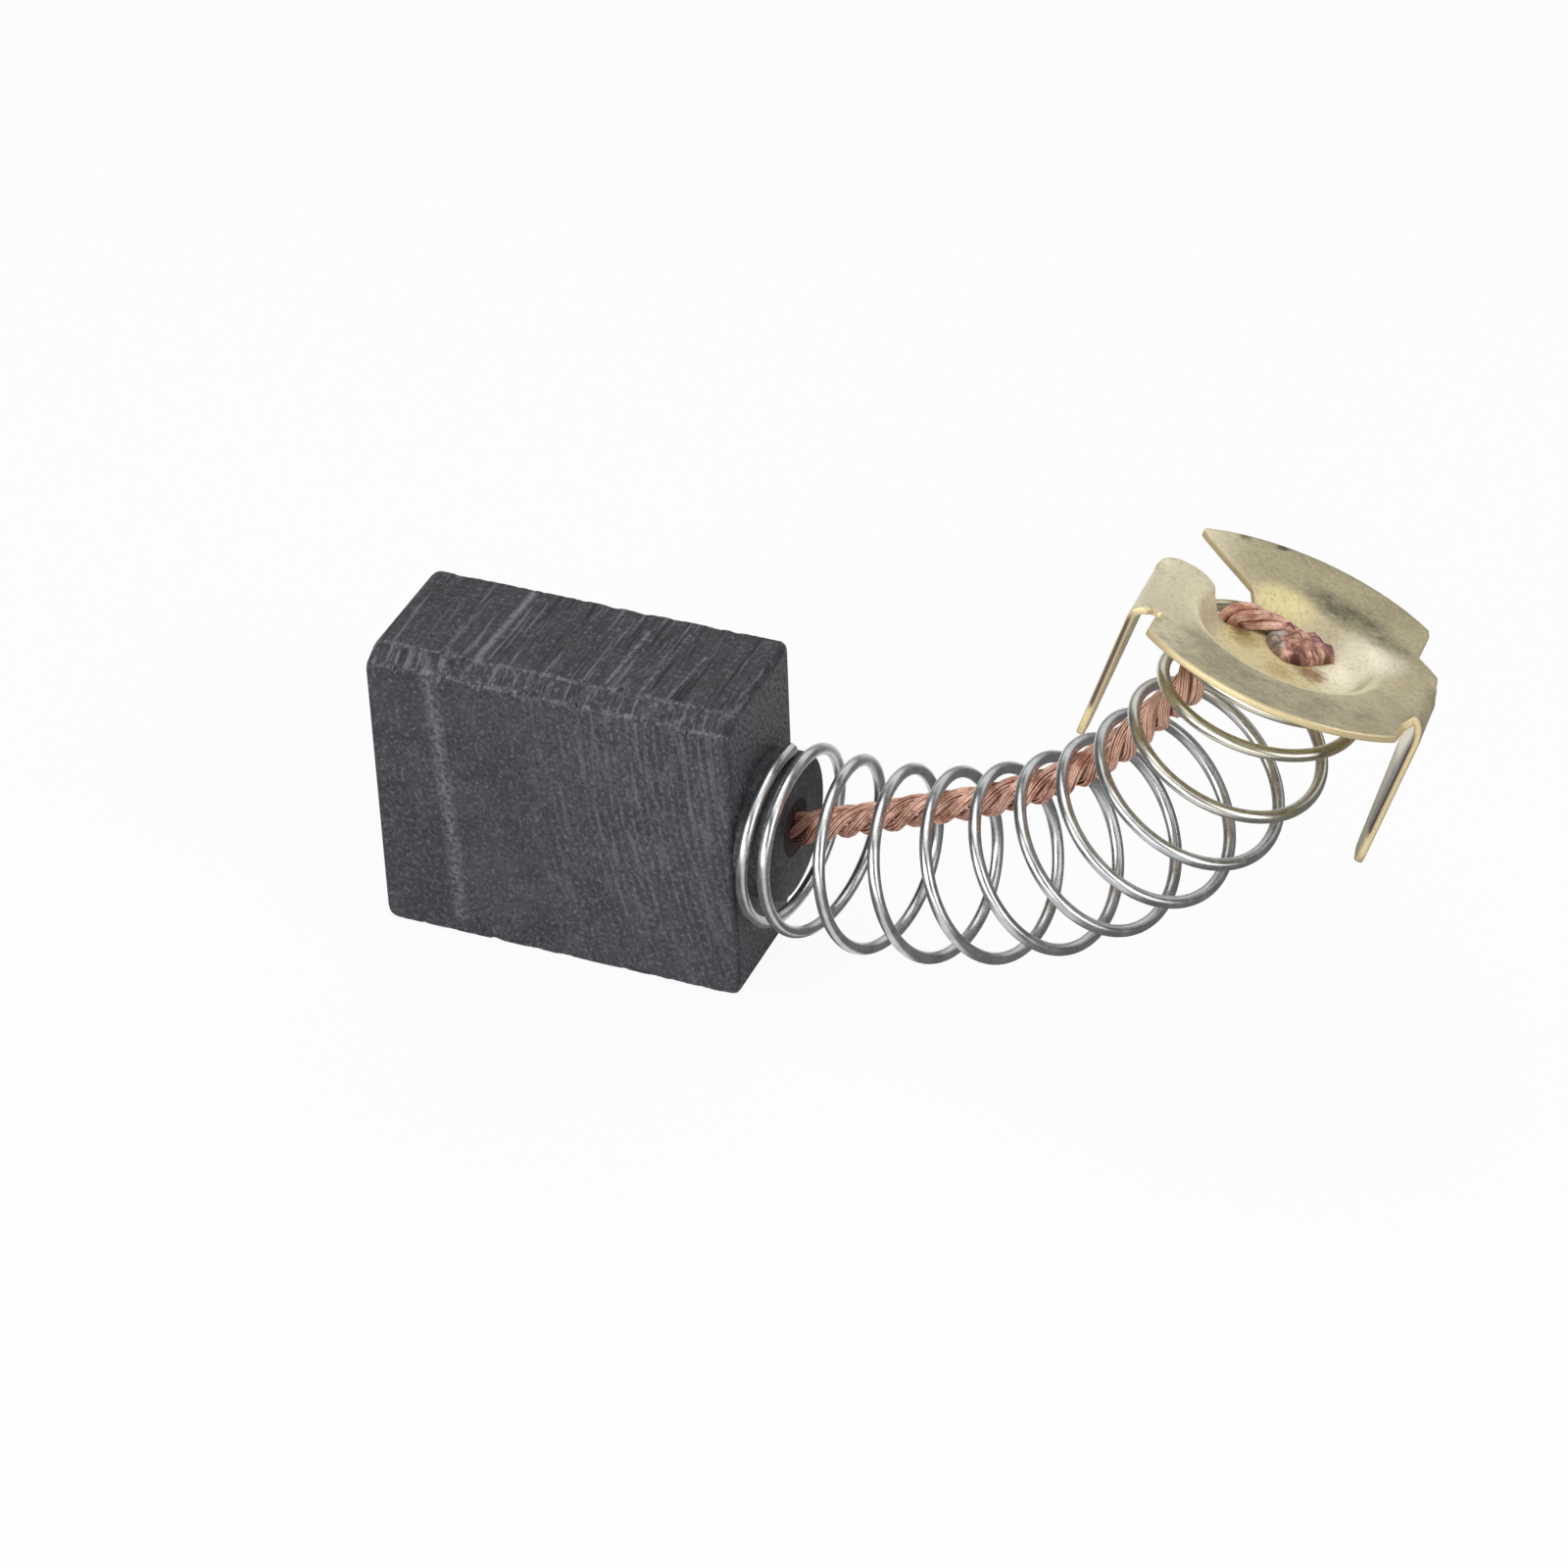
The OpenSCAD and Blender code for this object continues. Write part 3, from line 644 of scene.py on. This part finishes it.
def blank_outline():
    """Outline of the flat blank, clockwise from the near end of the right fold."""
    r_end, l_end = right_side + fold_arc + leg_long, left_side + fold_arc + leg_long
    tip_near, tip_far = leg_near + tip_rounding, leg_near + tip_width - tip_rounding
    far_left = 180 - math.degrees(math.atan2(5.28, 4.62))
    points = [(5.2, -3.62)]
    points += bow((0, 0), plate_radius, rim_angle(5.2, False), rim_angle(-4.7, False), 46)
    # Relief notch at the left fold, the left leg, and the lobe beside the slot
    points += [(-4.7, -3.72)]
    points += bow((-4.7, -3.42), notch_radius, -90, 170, 12)[1:]
    points += [(-left_side - 0.15, leg_near)]
    points += bow((-l_end + tip_rounding, tip_near), tip_rounding, -90, -180, 7)
    points += bow((-l_end + tip_rounding, tip_far), tip_rounding, -180, -245, 6)
    points += [(-left_side - fold_arc - 0.75, leg_far), (-left_side - 1.0, leg_far + 0.02)]
    points += [(-5.85, 0.98), (-5.76, 1.25), (-5.6, 1.6), (-5.3, 1.92), (-4.9, 2.13), (-4.4, 2.2)]
    points += bow(lobe_middle, lobe_radius, 78, 22, 7)
    # The slot's round end, its far edge and the far rim
    points += bow(slot_end, slot_end_radius, 230, 410, 20)
    points += [(-1.95, 2.93), (-2.6, 3.45), (-3.6, 4.2), (-4.5, 4.92), (-4.68, 5.1), (-4.7, 5.24)]
    points += bow((0, 0), plate_radius, far_left, rim_angle(4.75, True), 46)
    # The shoulder on the right and the right leg
    points += [(4.84, 4.9), (4.8, 3.05), (4.86, 2.9), (5.6, 2.1), (5.78, 1.9), (5.86, 1.3)]
    points += [(right_side + 0.75, leg_far + 0.05), (right_side + fold_arc + 0.75, leg_far)]
    points += bow((r_end - tip_rounding, tip_far), tip_rounding, 65, 0, 6)
    points += bow((r_end - tip_rounding, tip_near), tip_rounding, 0, -90, 7)
    points += [(right_side + 0.3, leg_near), (right_side + 0.02, leg_near + 0.02)]
    points += [(5.3, -3.4), (5.22, -3.48)]
    return points


def even_outline(points, spacing):
    """The same closed outline with points at an even spacing."""
    closed = np.array(points + points[:1])
    along = lengths_along(closed)
    at_lengths = np.linspace(0, along[-1], int(along[-1] / spacing), endpoint=False)
    return np.stack([np.interp(at_lengths, along, closed[:, k]) for k in (0, 1)], axis=1)


def inset(outline, by):
    """The clockwise outline moved inwards."""
    way = np.roll(outline, -1, axis=0) - np.roll(outline, 1, axis=0)
    way /= np.linalg.norm(way, axis=1)[:, None]
    return outline + by * np.stack((way[:, 1], -way[:, 0]), axis=1)


def inside(points, ring):
    """Which points lie inside a closed ring."""
    kept = np.zeros(len(points), bool)
    for (ax, ay), (bx, by) in zip(ring, np.roll(ring, -1, axis=0)):
        crosses = ((ay > points[:, 1]) != (by > points[:, 1])) & (
            points[:, 0] < (bx - ax) * (points[:, 1] - ay) / (by - ay + 1e-12) + ax)
        kept ^= crosses
    return kept


# The sheared edge's rows: how far inside the outline, and how far below the upper face
edge_rows = [(0.05, 0.0), (0.018, 0.015), (0.0, 0.06), (-0.004, 0.15), (0.004, 0.245), (0.03, 0.3)]
outline = even_outline(blank_outline(), outline_step)
upper = inset(outline, edge_rows[0][0])
grid = np.array([(u, v) for i, v in enumerate(np.arange(-7.2, 7.2, grid_step))
                 for u in np.arange(-13.2, 13.6, grid_step) + (grid_step / 2 if i % 2 else 0)])
grid = grid[inside(grid, inset(outline, grid_margin))]
blank = [Vector(p) for p in upper] + [Vector(p) for p in grid]
loop = [(i, (i + 1) % len(upper)) for i in range(len(upper))]
flat, _, faces, _, _, _ = delaunay_2d_cdt(blank, loop, [], 1, 1e-6)
assert len(flat) == len(blank), "the blank's outline crosses itself"
terminal = bmesh.new()
# The sheared mark is set on the bare sheared edges, and with a lower value on the inside of the right leg,
# which is painted pale as painted light
bare_and_lit_mark = terminal.faces.layers.float.new("sheared")
dark_mark = terminal.verts.layers.float.new("dark")


def leg_darkness(u, v, depth):
    """Painted dark reflection down each leg: inside the right one, along the near edge of the left one."""
    side = right_side if u > 0 else left_side
    down_leg = (abs(u) - side - fold_arc) / leg_long
    fade = smooth_step(down_leg, -0.12, 0.05) * (1 - smooth_step(down_leg, 0.7, 0.78))
    if u > 0 and depth > 0.2:
        across_leg = (v - leg_near) / (leg_far - leg_near - 2.3 * down_leg)
        return fade * (1 - smooth_step(across_leg, 0.2, 0.6))
    if u < 0 and abs(v - leg_near) < 0.12 and 0.03 < depth < 0.2:
        return fade
    return 0.0


def sheet_point(u, v, depth):
    """Adds a point of the folded sheet, so deep below its upper face."""
    point = terminal.verts.new(on_plate(*(sheet_face(u, v) - depth * sheet_normal(u, v))))
    point[dark_mark] = leg_darkness(u, v, depth)
    return point


top = [sheet_point(p.x, p.y, 0) for p in flat]
bottom = [sheet_point(p.x, p.y, sheet) for p in flat]
for face in faces:
    terminal.faces.new([top[i] for i in face])
    under = terminal.faces.new([bottom[i] for i in reversed(face)])
    # The inside of the right leg gets the mark for its painted light
    if min(flat[i].x for i in face) > right_side + fold_arc:
        under[bare_and_lit_mark] = lit_leg_mark
belts = [top[:len(upper)]]
for by, depth in edge_rows[1:-1]:
    belts.append([sheet_point(u, v, depth) for u, v in inset(outline, by)])
belts.append(bottom[:len(upper)])
sheared = []
for row, (a, b) in enumerate(zip(belts, belts[1:])):
    for i in range(len(upper)):
        n = (i + 1) % len(upper)
        side = terminal.faces.new((a[i], a[n], b[n], b[i]))
        side[bare_and_lit_mark] = 1.0 if row in (2, 3, 4) else 0.6
        sheared.append(side)
bmesh.ops.recalc_face_normals(terminal, faces=terminal.faces)
for f in terminal.faces:
    f.smooth = True
for f in sheared:
    f.smooth = False
terminal_mesh = bpy.data.meshes.new("terminal_sheet")
terminal.to_mesh(terminal_mesh)


def daub(at, tone, where, radius, paint, amount, ragged):
    """Paints a soft spot round a place on the plate, its border made ragged by a noise."""
    apart = maths("ADD", vectors("DISTANCE", at, tuple(on_plate(*where))),
                  times(maths("SUBTRACT", ragged, 0.5), radius))
    return blend(stretch(apart, radius, 0.3 * radius, 0.0, amount), tone, colour(paint))


brass, tree, shader = new_material("tarnished brass sheet")
at = use(tree, place)["Place"]
cloud = mottled(at, 0.42, 5.0, 0.6)
speck = mottled(at, 5.0, 4.0, 0.75)
smudge = stretch(mottled(at, 0.9, 5.0, 0.7), 0.45, 0.62)
on_sheet = vectors("SUBTRACT", at, tuple(plate_middle))
u_at, v_at = (vectors("DOT_PRODUCT", on_sheet, tuple(way)) for way in (plate_u, plate_v))
ring_at = maths("SQRT", maths("ADD", times(u_at, u_at), times(v_at, v_at)))
near_side = stretch(v_at, 1.2, -1.2)
in_floor = stretch(ring_at, 2.75, 2.2)
on_lip = times(stretch(ring_at, 3.35, 3.6), stretch(ring_at, 3.95, 3.7))
right_wall = times(stretch(u_at, 1.4, 2.2), stretch(ring_at, 3.3, 2.9))
band = times(stretch(ring_at, 3.2, 4.0), stretch(ring_at, 5.8, 4.8),
             stretch(v_at, 1.6, 3.0), stretch(u_at, -0.8, 0.8))
tone = blend(stretch(cloud, 0.32, 0.68), colour("b1a585"), colour("cbbe9b"))
# Painted light and shade: the far part darker, the left part and the lobe paler, the cup's floor, the
# cup's right wall and the near lip paler as painted light and a painted highlight, and a dark band on the
# far brim as painted shade
for paint, *amounts in (
        ("9a9171", stretch(v_at, 2.5, 5.0), 0.5), ("f4e8c8", stretch(u_at, -2.2, -4.8), 0.85),
        ("87826a", smudge, stretch(v_at, -1.5, -4.0), 0.5), ("ddcd98", in_floor, 0.85),
        ("5f5b45", band, maths("ADD", 0.5, times(smudge, 0.45))),
        ("efe5c2", right_wall, stretch(v_at, 1.3, 0.3), 0.85), ("f3ecc6", on_lip, near_side, 0.75)):
    tone = coat(tone, paint, *amounts)
# Painted light on the cup's floor at the far left and at the right, a painted shadow under the shunt
# beside the slot, olive and brown spots on the floor round the pad, and dark nicks at the far rim
for where, radius, paint, amount in (
        ((-0.7, 3.1, -0.8), 1.7, "e3d69c", 0.85), ((2.9, 1.4, -0.9), 2.2, "faf2d8", 0.95),
        ((-1.7, 0.85, floor_w), 0.55, "5e352a", 0.8), ((-1.5, 0.3, floor_w), 0.9, "9c8746", 0.6),
        ((1.4, -0.05, floor_w), 0.85, "85552b", 0.85), ((0.2, -1.0, floor_w), 0.8, "a88a48", 0.5),
        ((-3.2, 6.2, -0.2), 0.45, "4a493c", 0.8), ((-1.7, 6.75, 0), 0.4, "3c3b33", 0.9)):
    tone = daub(at, tone, where, radius, paint, amount, cloud if radius > 1 else speck)
tone = coat(tone, "77704f", stretch(speck, 0.5, 0.36), 0.3)
tone = coat(tone, "e6dcb8", stretch(speck, 0.52, 0.66), 0.25)

# Bare metal on the sheared edges. The inside of the right leg is painted pale, as painted light
# on a face turned from the lamps, and is smoother and more metallic. The dark bands down the
# legs are a painted dark reflection.
bare_and_lit = put(tree, "ShaderNodeAttribute", attribute_name="sheared").outputs["Fac"]
dark = put(tree, "ShaderNodeAttribute", attribute_name="dark").outputs["Fac"]
inner = maths("COMPARE", bare_and_lit, lit_leg_mark, 0.05)
tone = coat(tone, "d6c396", bare_and_lit, 0.85)
# Painted light on the inside of the right leg
tone = coat(tone, "dfd3b2", inner)
# The painted dark reflection down the legs
tone = coat(tone, "46353a", dark, 0.93)
feed(shader["Base Color"], tone)
feed(shader["Roughness"], maths("SUBTRACT", stretch(speck, 0.3, 0.7, 0.44, 0.34), times(inner, 0.2)))
feed(shader["Metallic"], maths("ADD", times(inner, 0.3), stretch(ring_at, 3.6, 4.8, 0.08, 0.5)))
feed(shader["Normal"], relief(speck, 0.2, 0.02 * MM))
finish_piece("terminal_sheet", terminal_mesh, brass, ["terminal"])


# Shunt: four bundles of fine bare copper wires, laid left-handed round each other. It comes
# out of the powder, runs inside the coil and goes up through the terminal's slot.
bundle_ring, bundle_half, lay_turns, wire_lay = 0.43, 0.25, 6.6, 7.5
strand_radius, strand_sides, strand_step = 0.046, 5, 0.17
strand_rings = ((0.0, 1), (0.085, 6), (0.168, 12))
bundle_across, bundle_around = 1.25, 1.35
hidden_start, hidden_end = 1.6, 0.2
# The rope is drawn slimmer before the slot and pressed flatter towards the pad: by which
# share, and between which distances from its end
slimmed, slim_from, slim_to = 0.27, 4.8, 3.2
pressed, press_from, press_to = 0.55, 2.2, 0.4
coil_room = coil_radius - wire_radius - bundle_ring - bundle_half - slack

# The rope's middle: from inside the powder along the coil, by a share of its length and by how
# far it lies up and aside in it, then by places round the slot in the plate's directions
route = [seat + p for p in ((-2.2, 0, 0), (0.6, 0, 0), (1.8, 0, 0.05))]
for share, up_by, by in ((0.1, 0.44, -0.04), (0.17, 0.66, -0.04), (0.29, 0.91, -0.1),
                         (0.42, 0.96, -0.18), (0.575, 0.955, -0.25), (0.7, 0.96, -0.26),
                         (0.81, 0.97, -0.24), (0.898, 0.89, -0.06), (0.96, 0.92, -0.25)):
    point, _, side, other = axis_frame(share * curve_length)
    route.append(point + coil_room * (up_by * side + by * other))
for u, v, w in ((-0.15, -0.5, -0.53), (0.15, -0.4, 0.2), (0.55, -0.35, 0.42), (1, -0.15, 0.42),
                (1.5, 0.0, 0.4), (2.05, 0.15, 0.4), (2.7, -0.05, 0.3)):
    route.append(on_plate(slot_middle[0] + u, slot_middle[1] + v, floor_w + w))


def spline(points, x):
    """A smooth curve through points, x points along it."""
    i = min(int(x), len(points) - 2)
    t = x - i
    a, b, c, d = (points[max(0, min(len(points) - 1, i + k))] for k in (-1, 0, 1, 2))
    return 0.5 * (2 * b + (c - a) * t + (2 * a - 5 * b + 4 * c - d) * t * t
                  + (3 * b - a - 3 * c + d) * t ** 3)


fine_x = np.linspace(0, len(route) - 1, 12 * (len(route) - 1) + 1)
fine_along = lengths_along([spline(route, x) for x in fine_x])
shunt_length = fine_along[-1]


def shunt_frame(s):
    """Point and the two ways across the shunt, s millimetres along it."""
    def point(at_s):
        return spline(route, float(np.interp(at_s, fine_along, fine_x)))
    heading = unit(point(min(s + 0.05, shunt_length)) - point(max(s - 0.05, 0)))
    side = unit(np.cross(heading, (0, 1, 0)))
    return point(s), side, np.cross(heading, side)


def bundle_paths(k):
    """Centre lines of one bundle's wires: rings of wires twisted round the bundle's middle."""
    chance = random.Random(k)
    # A core of seven wires in the middle of the shunt is laid with the first bundle
    core = [(0.0, 0.0)] + [(0.1, math.pi * j / 3) for j in range(6)] if k == 1 else []
    wires = []
    for ring, count in strand_rings:
        for j in range(count):
            wires.append((ring, 2 * math.pi * j / count + chance.uniform(-0.15, 0.15),
                          chance.uniform(0, 7), chance.uniform(0.6, 1.4)))
    stations = []
    for s in np.arange(hidden_start, shunt_length - hidden_end, strand_step):
        middle, side, other = shunt_frame(s)
        a = math.radians(90 * k) - 2 * math.pi * s / (shunt_length / lay_turns)
        across = math.cos(a) * side + math.sin(a) * other
        stations.append((s, middle, across, -math.sin(a) * side + math.cos(a) * other))
    paths = [[middle + r * (math.cos(angle) * across + math.sin(angle) * around)
              for s, middle, across, around in stations] for r, angle in core]
    for ring, angle, shift, sway in wires:
        path = []
        for s, middle, across, around in stations:
            # Each wire sways in its own way, so that no two lie alike
            turn = angle + 2 * math.pi * s / wire_lay
            r = ring * (1 + 0.08 * sway * math.sin(1.3 * s + shift))
            wobble = 0.014 * math.sin(2.1 * s * sway + shift)
            aside = ((bundle_ring + bundle_across * r * math.cos(turn) + wobble) * across
                     + bundle_around * r * math.sin(turn) * around)
            flatter = pressed * smooth_step(s, shunt_length - press_from, shunt_length - press_to)
            aside -= flatter * np.dot(aside, plate_w) * plate_w
            slimmer = slimmed * smooth_step(s, shunt_length - slim_from, shunt_length - slim_to)
            path.append(middle + aside * (1 - slimmer))
        paths.append(path)
    return paths


copper, tree, shader = new_material("bare copper wire", metallic=0.35, roughness=0.4)
at = use(tree, place)["Place"]
from_seat = vectors("DISTANCE", at, tuple(seat + (1.2, 0, 0)))
from_plate = vectors("DISTANCE", at, tuple(plate_middle))
tone = blend(stretch(mottled(at, 2.2, 4.0, 0.6), 0.34, 0.62), colour("b57d67"), colour("ecc3af"))
tone = blend(stretch(from_seat, 1.9, 0.5, 0.0, 0.75), tone, colour("6d4038"))
# Nearer the terminal the rope is painted paler, as painted light where the plate shades it
tone = coat(tone, "f6cdb6", stretch(from_plate, 11.0, 7.5), stretch(from_plate, 2.6, 4.0), 0.6)
feed(shader["Base Color"], tone)
for k in (1, 2, 3, 4):
    name = "shunt_wires_%d" % k
    mesh = drawn_wires(name, bundle_paths(k), strand_radius, strand_sides, copper)
    finish_piece(name, mesh, copper, ["shunt_bundle_%d" % k], smooth=80)


# Weld pad: the end of the shunt, pressed flat and resistance-welded to the cup's floor. The
# heat left purple tints in the copper and a grey bead at its left edge. Its lower edge is dark
# brown, and a painted highlight lies on its top.
pad_outline = [(-0.75, 2.3), (-0.82, 1.5), (-0.65, 0.75), (-0.25, 0.2), (0.3, -0.1), (0.85, 0.1),
               (1.45, 0.8), (2.0, 1.7), (1.85, 2.2), (1.1, 2.4), (0.3, 2.5)]
pad_edge = even_outline(pad_outline, 0.09)
pad_middle, pad_thick, pad_lift = np.array((0.5, 1.3)), 0.6, 0.02
strand_u, strand_v = 0.96, -0.28
pad = bmesh.new()
rings = []
for inward in np.linspace(0, 1, 22):
    ring = []
    for corner in pad_edge:
        spot = pad_middle + (corner - pad_middle) * (1 - inward * 0.985)
        u, v = spot - pad_middle
        along, over = strand_u * u + strand_v * v, strand_u * v - strand_v * u
        rise = pad_thick * math.sqrt(max(0.0, 1 - (1 - inward) ** 3.2))
        ridge = 0.05 * math.sin(8 * over + 2.2 * math.sin(2.3 * along))
        lump = 0.16 * noise.noise(Vector((spot[0] * 1.3, spot[1] * 1.3, 4)))
        crumple = 0.2 * noise.noise(Vector((spot[0] * 2.8, spot[1] * 2.8, 9)))
        uneven = min(1, inward * 5) * (ridge + crumple + lump)
        height = floor_w + pad_lift + rise * (1 + lump * 2) + uneven
        ring.append(pad.verts.new(on_plate(*spot, max(floor_w + pad_lift / 2, height))))
    rings.append(ring)

tinted, tree, shader = new_material("heat-tinted copper", metallic=0.6, roughness=0.4)
at = use(tree, place)["Place"]
mottle = mottled(at, 1.9, 5.0, 0.65)
tone = blend(stretch(mottle, 0.35, 0.62), colour("986759"), colour("d9ab97"))
# Purple heat tints, dark brown along the lower edge, the grey bead at the left, and a painted highlight on
# the top
for where, radius, paint, amount in (
        ((0.0, 2.2, -0.8), 0.85, "8e3358", 0.85), ((1.3, 1.7, -0.8), 0.6, "8a4a70", 0.8),
        ((0.7, -0.05, -1.2), 0.7, "3f1512", 0.95), ((1.75, 1.2, -1.2), 0.5, "4a1d16", 0.8),
        ((-0.65, 1.2, -0.9), 0.65, "b4b5ad", 0.95), ((-0.35, 0.4, -1.0), 0.55, "9b9b92", 0.95),
        ((0.55, 1.6, -0.6), 0.5, "d9a898", 0.7)):
    tone = daub(at, tone, where, radius, paint, amount, mottle)
on_sheet = vectors("SUBTRACT", at, tuple(plate_middle))
along, over = (vectors("DOT_PRODUCT", on_sheet, tuple(way)) for way in (
    strand_u * plate_u + strand_v * plate_v, strand_u * plate_v - strand_v * plate_u))
strands = fine_lines(put(tree, "ShaderNodeCombineXYZ", {"X": along, "Y": over}).outputs[0],
                     (1.3, 6.0, 1.0), 0.5, 0.38)
# The lines between the flattened strands are painted darker, as painted shade in the crevices
feed(shader["Base Color"], coat(tone, "4a251f", strands["Mask"], 0.6))
feed(shader["Normal"], relief(strands["Height"], 0.9, 0.12 * MM))
finish_piece("weld_pad_flat", skin("weld_pad_flat", pad, rings), tinted, ["weld_pad"], smooth=70)


# Stage: a pale floor that the block stands on, plain soft light from above, from the front and
# from the right, and a studio that is pale only where bright wire should show it.
part_middle = (0.012, 0, 0)
floor_half = 3.0
view_heading = (-0.407, 0.914, 0)
seen_share, studio_grey = 0.93, 0.14
floor_mesh = bpy.data.meshes.new("floor")
floor_mesh.from_pydata([(-floor_half, -floor_half, 0), (floor_half, -floor_half, 0),
                        (floor_half, floor_half, 0), (-floor_half, floor_half, 0)], [], [(0, 1, 2, 3)])
floor = bpy.data.objects.new("floor", floor_mesh)
bpy.context.scene.collection.objects.link(floor)
pale, tree, shader = new_material("pale floor", roughness=0.9)
from_part = vectors("SUBTRACT", put(tree, "ShaderNodeTexCoord").outputs["Object"], part_middle)
far_off = stretch(vectors("LENGTH", from_part), 0.12, 0.3)
feed(shader["Base Color"], blend(far_off, (0.75, 0.75, 0.75), (0.1, 0.1, 0.1)))
shader["Specular IOR Level"].default_value = 0.1
ray = put(tree, "ShaderNodeLightPath").outputs
seen = times(maths("MAXIMUM", ray["Is Camera Ray"], ray["Is Transmission Ray"]), seen_share)


def glow(strength):
    return put(tree, "ShaderNodeEmission", {"Color": (1, 1, 1), "Strength": strength}).outputs[0]


def either(choice, first, second):
    return put(tree, "ShaderNodeMixShader", {0: choice, 1: first, 2: second}).outputs[0]


# What bright metal shows of the floor: pale behind the brush and in a strip in front, dark beside
facing = vectors("DOT_PRODUCT", vectors("NORMALIZE", from_part), view_heading)
pale_part = maths("MAXIMUM", stretch(facing, 0.65, 0.93, 0.2, 0.95),
                  stretch(facing, -0.85, -0.96, 0.2, 0.9))
lit = either(seen, tree.nodes["Principled BSDF"].outputs[0], glow(1.0))
feed(tree.nodes["Material Output"].inputs["Surface"], either(ray["Is Glossy Ray"], lit, glow(pale_part)))
floor_mesh.materials.append(pale)

world = bpy.data.worlds.new("studio")
bpy.context.scene.world = world
world.use_nodes = True
tree = world.node_tree
way = put(tree, "ShaderNodeSeparateXYZ", {0: put(tree, "ShaderNodeTexCoord").outputs["Generated"]}).outputs
behind = times(stretch(way[1], 0.45, 0.75), stretch(way[2], 0.08, 0.5, 0.0, 0.95),
               stretch(way[2], 0.8, 0.68))
above = stretch(way[2], 0.9, 0.98, 0.0, 0.8)
level = maths("ADD", studio_grey, maths("MAXIMUM", behind, above))
grey = put(tree, "ShaderNodeCombineColor", {0: level, 1: level, 2: level}).outputs[0]
white_behind = blend(put(tree, "ShaderNodeLightPath").outputs["Is Camera Ray"], grey, (1.0, 1.0, 1.0))
feed(tree.nodes["Background"].inputs["Color"], white_behind)
tree.nodes["Background"].inputs["Strength"].default_value = 1.0

for name, place_at, aim_at, size, power in (
        ("lamp_above", (0.0, -0.05, 0.45), (0.012, 0, 0.01), (0.6, 0.4), 1.05),
        ("lamp_front_left", (-0.22, -0.5, 0.22), (0.012, 0, 0.01), (0.55, 0.42), 1.9),
        ("lamp_front_low", (0.08, -0.5, 0.06), (0.016, 0, 0.012), (0.5, 0.16), 0.5),
        ("lamp_right", (0.4, -0.12, 0.2), (0.012, 0, 0.01), (0.36, 0.38), 0.95)):
    lamp = bpy.data.lights.new(name, "AREA")
    lamp.shape = "RECTANGLE"
    lamp.size, lamp.size_y = size
    lamp.energy = power
    holder = bpy.data.objects.new(name, lamp)
    aim = (Vector(aim_at) - Vector(place_at)).to_track_quat("-Z", "Y").to_matrix().to_4x4()
    holder.matrix_world = Matrix.Translation(place_at) @ aim
    bpy.context.scene.collection.objects.link(holder)
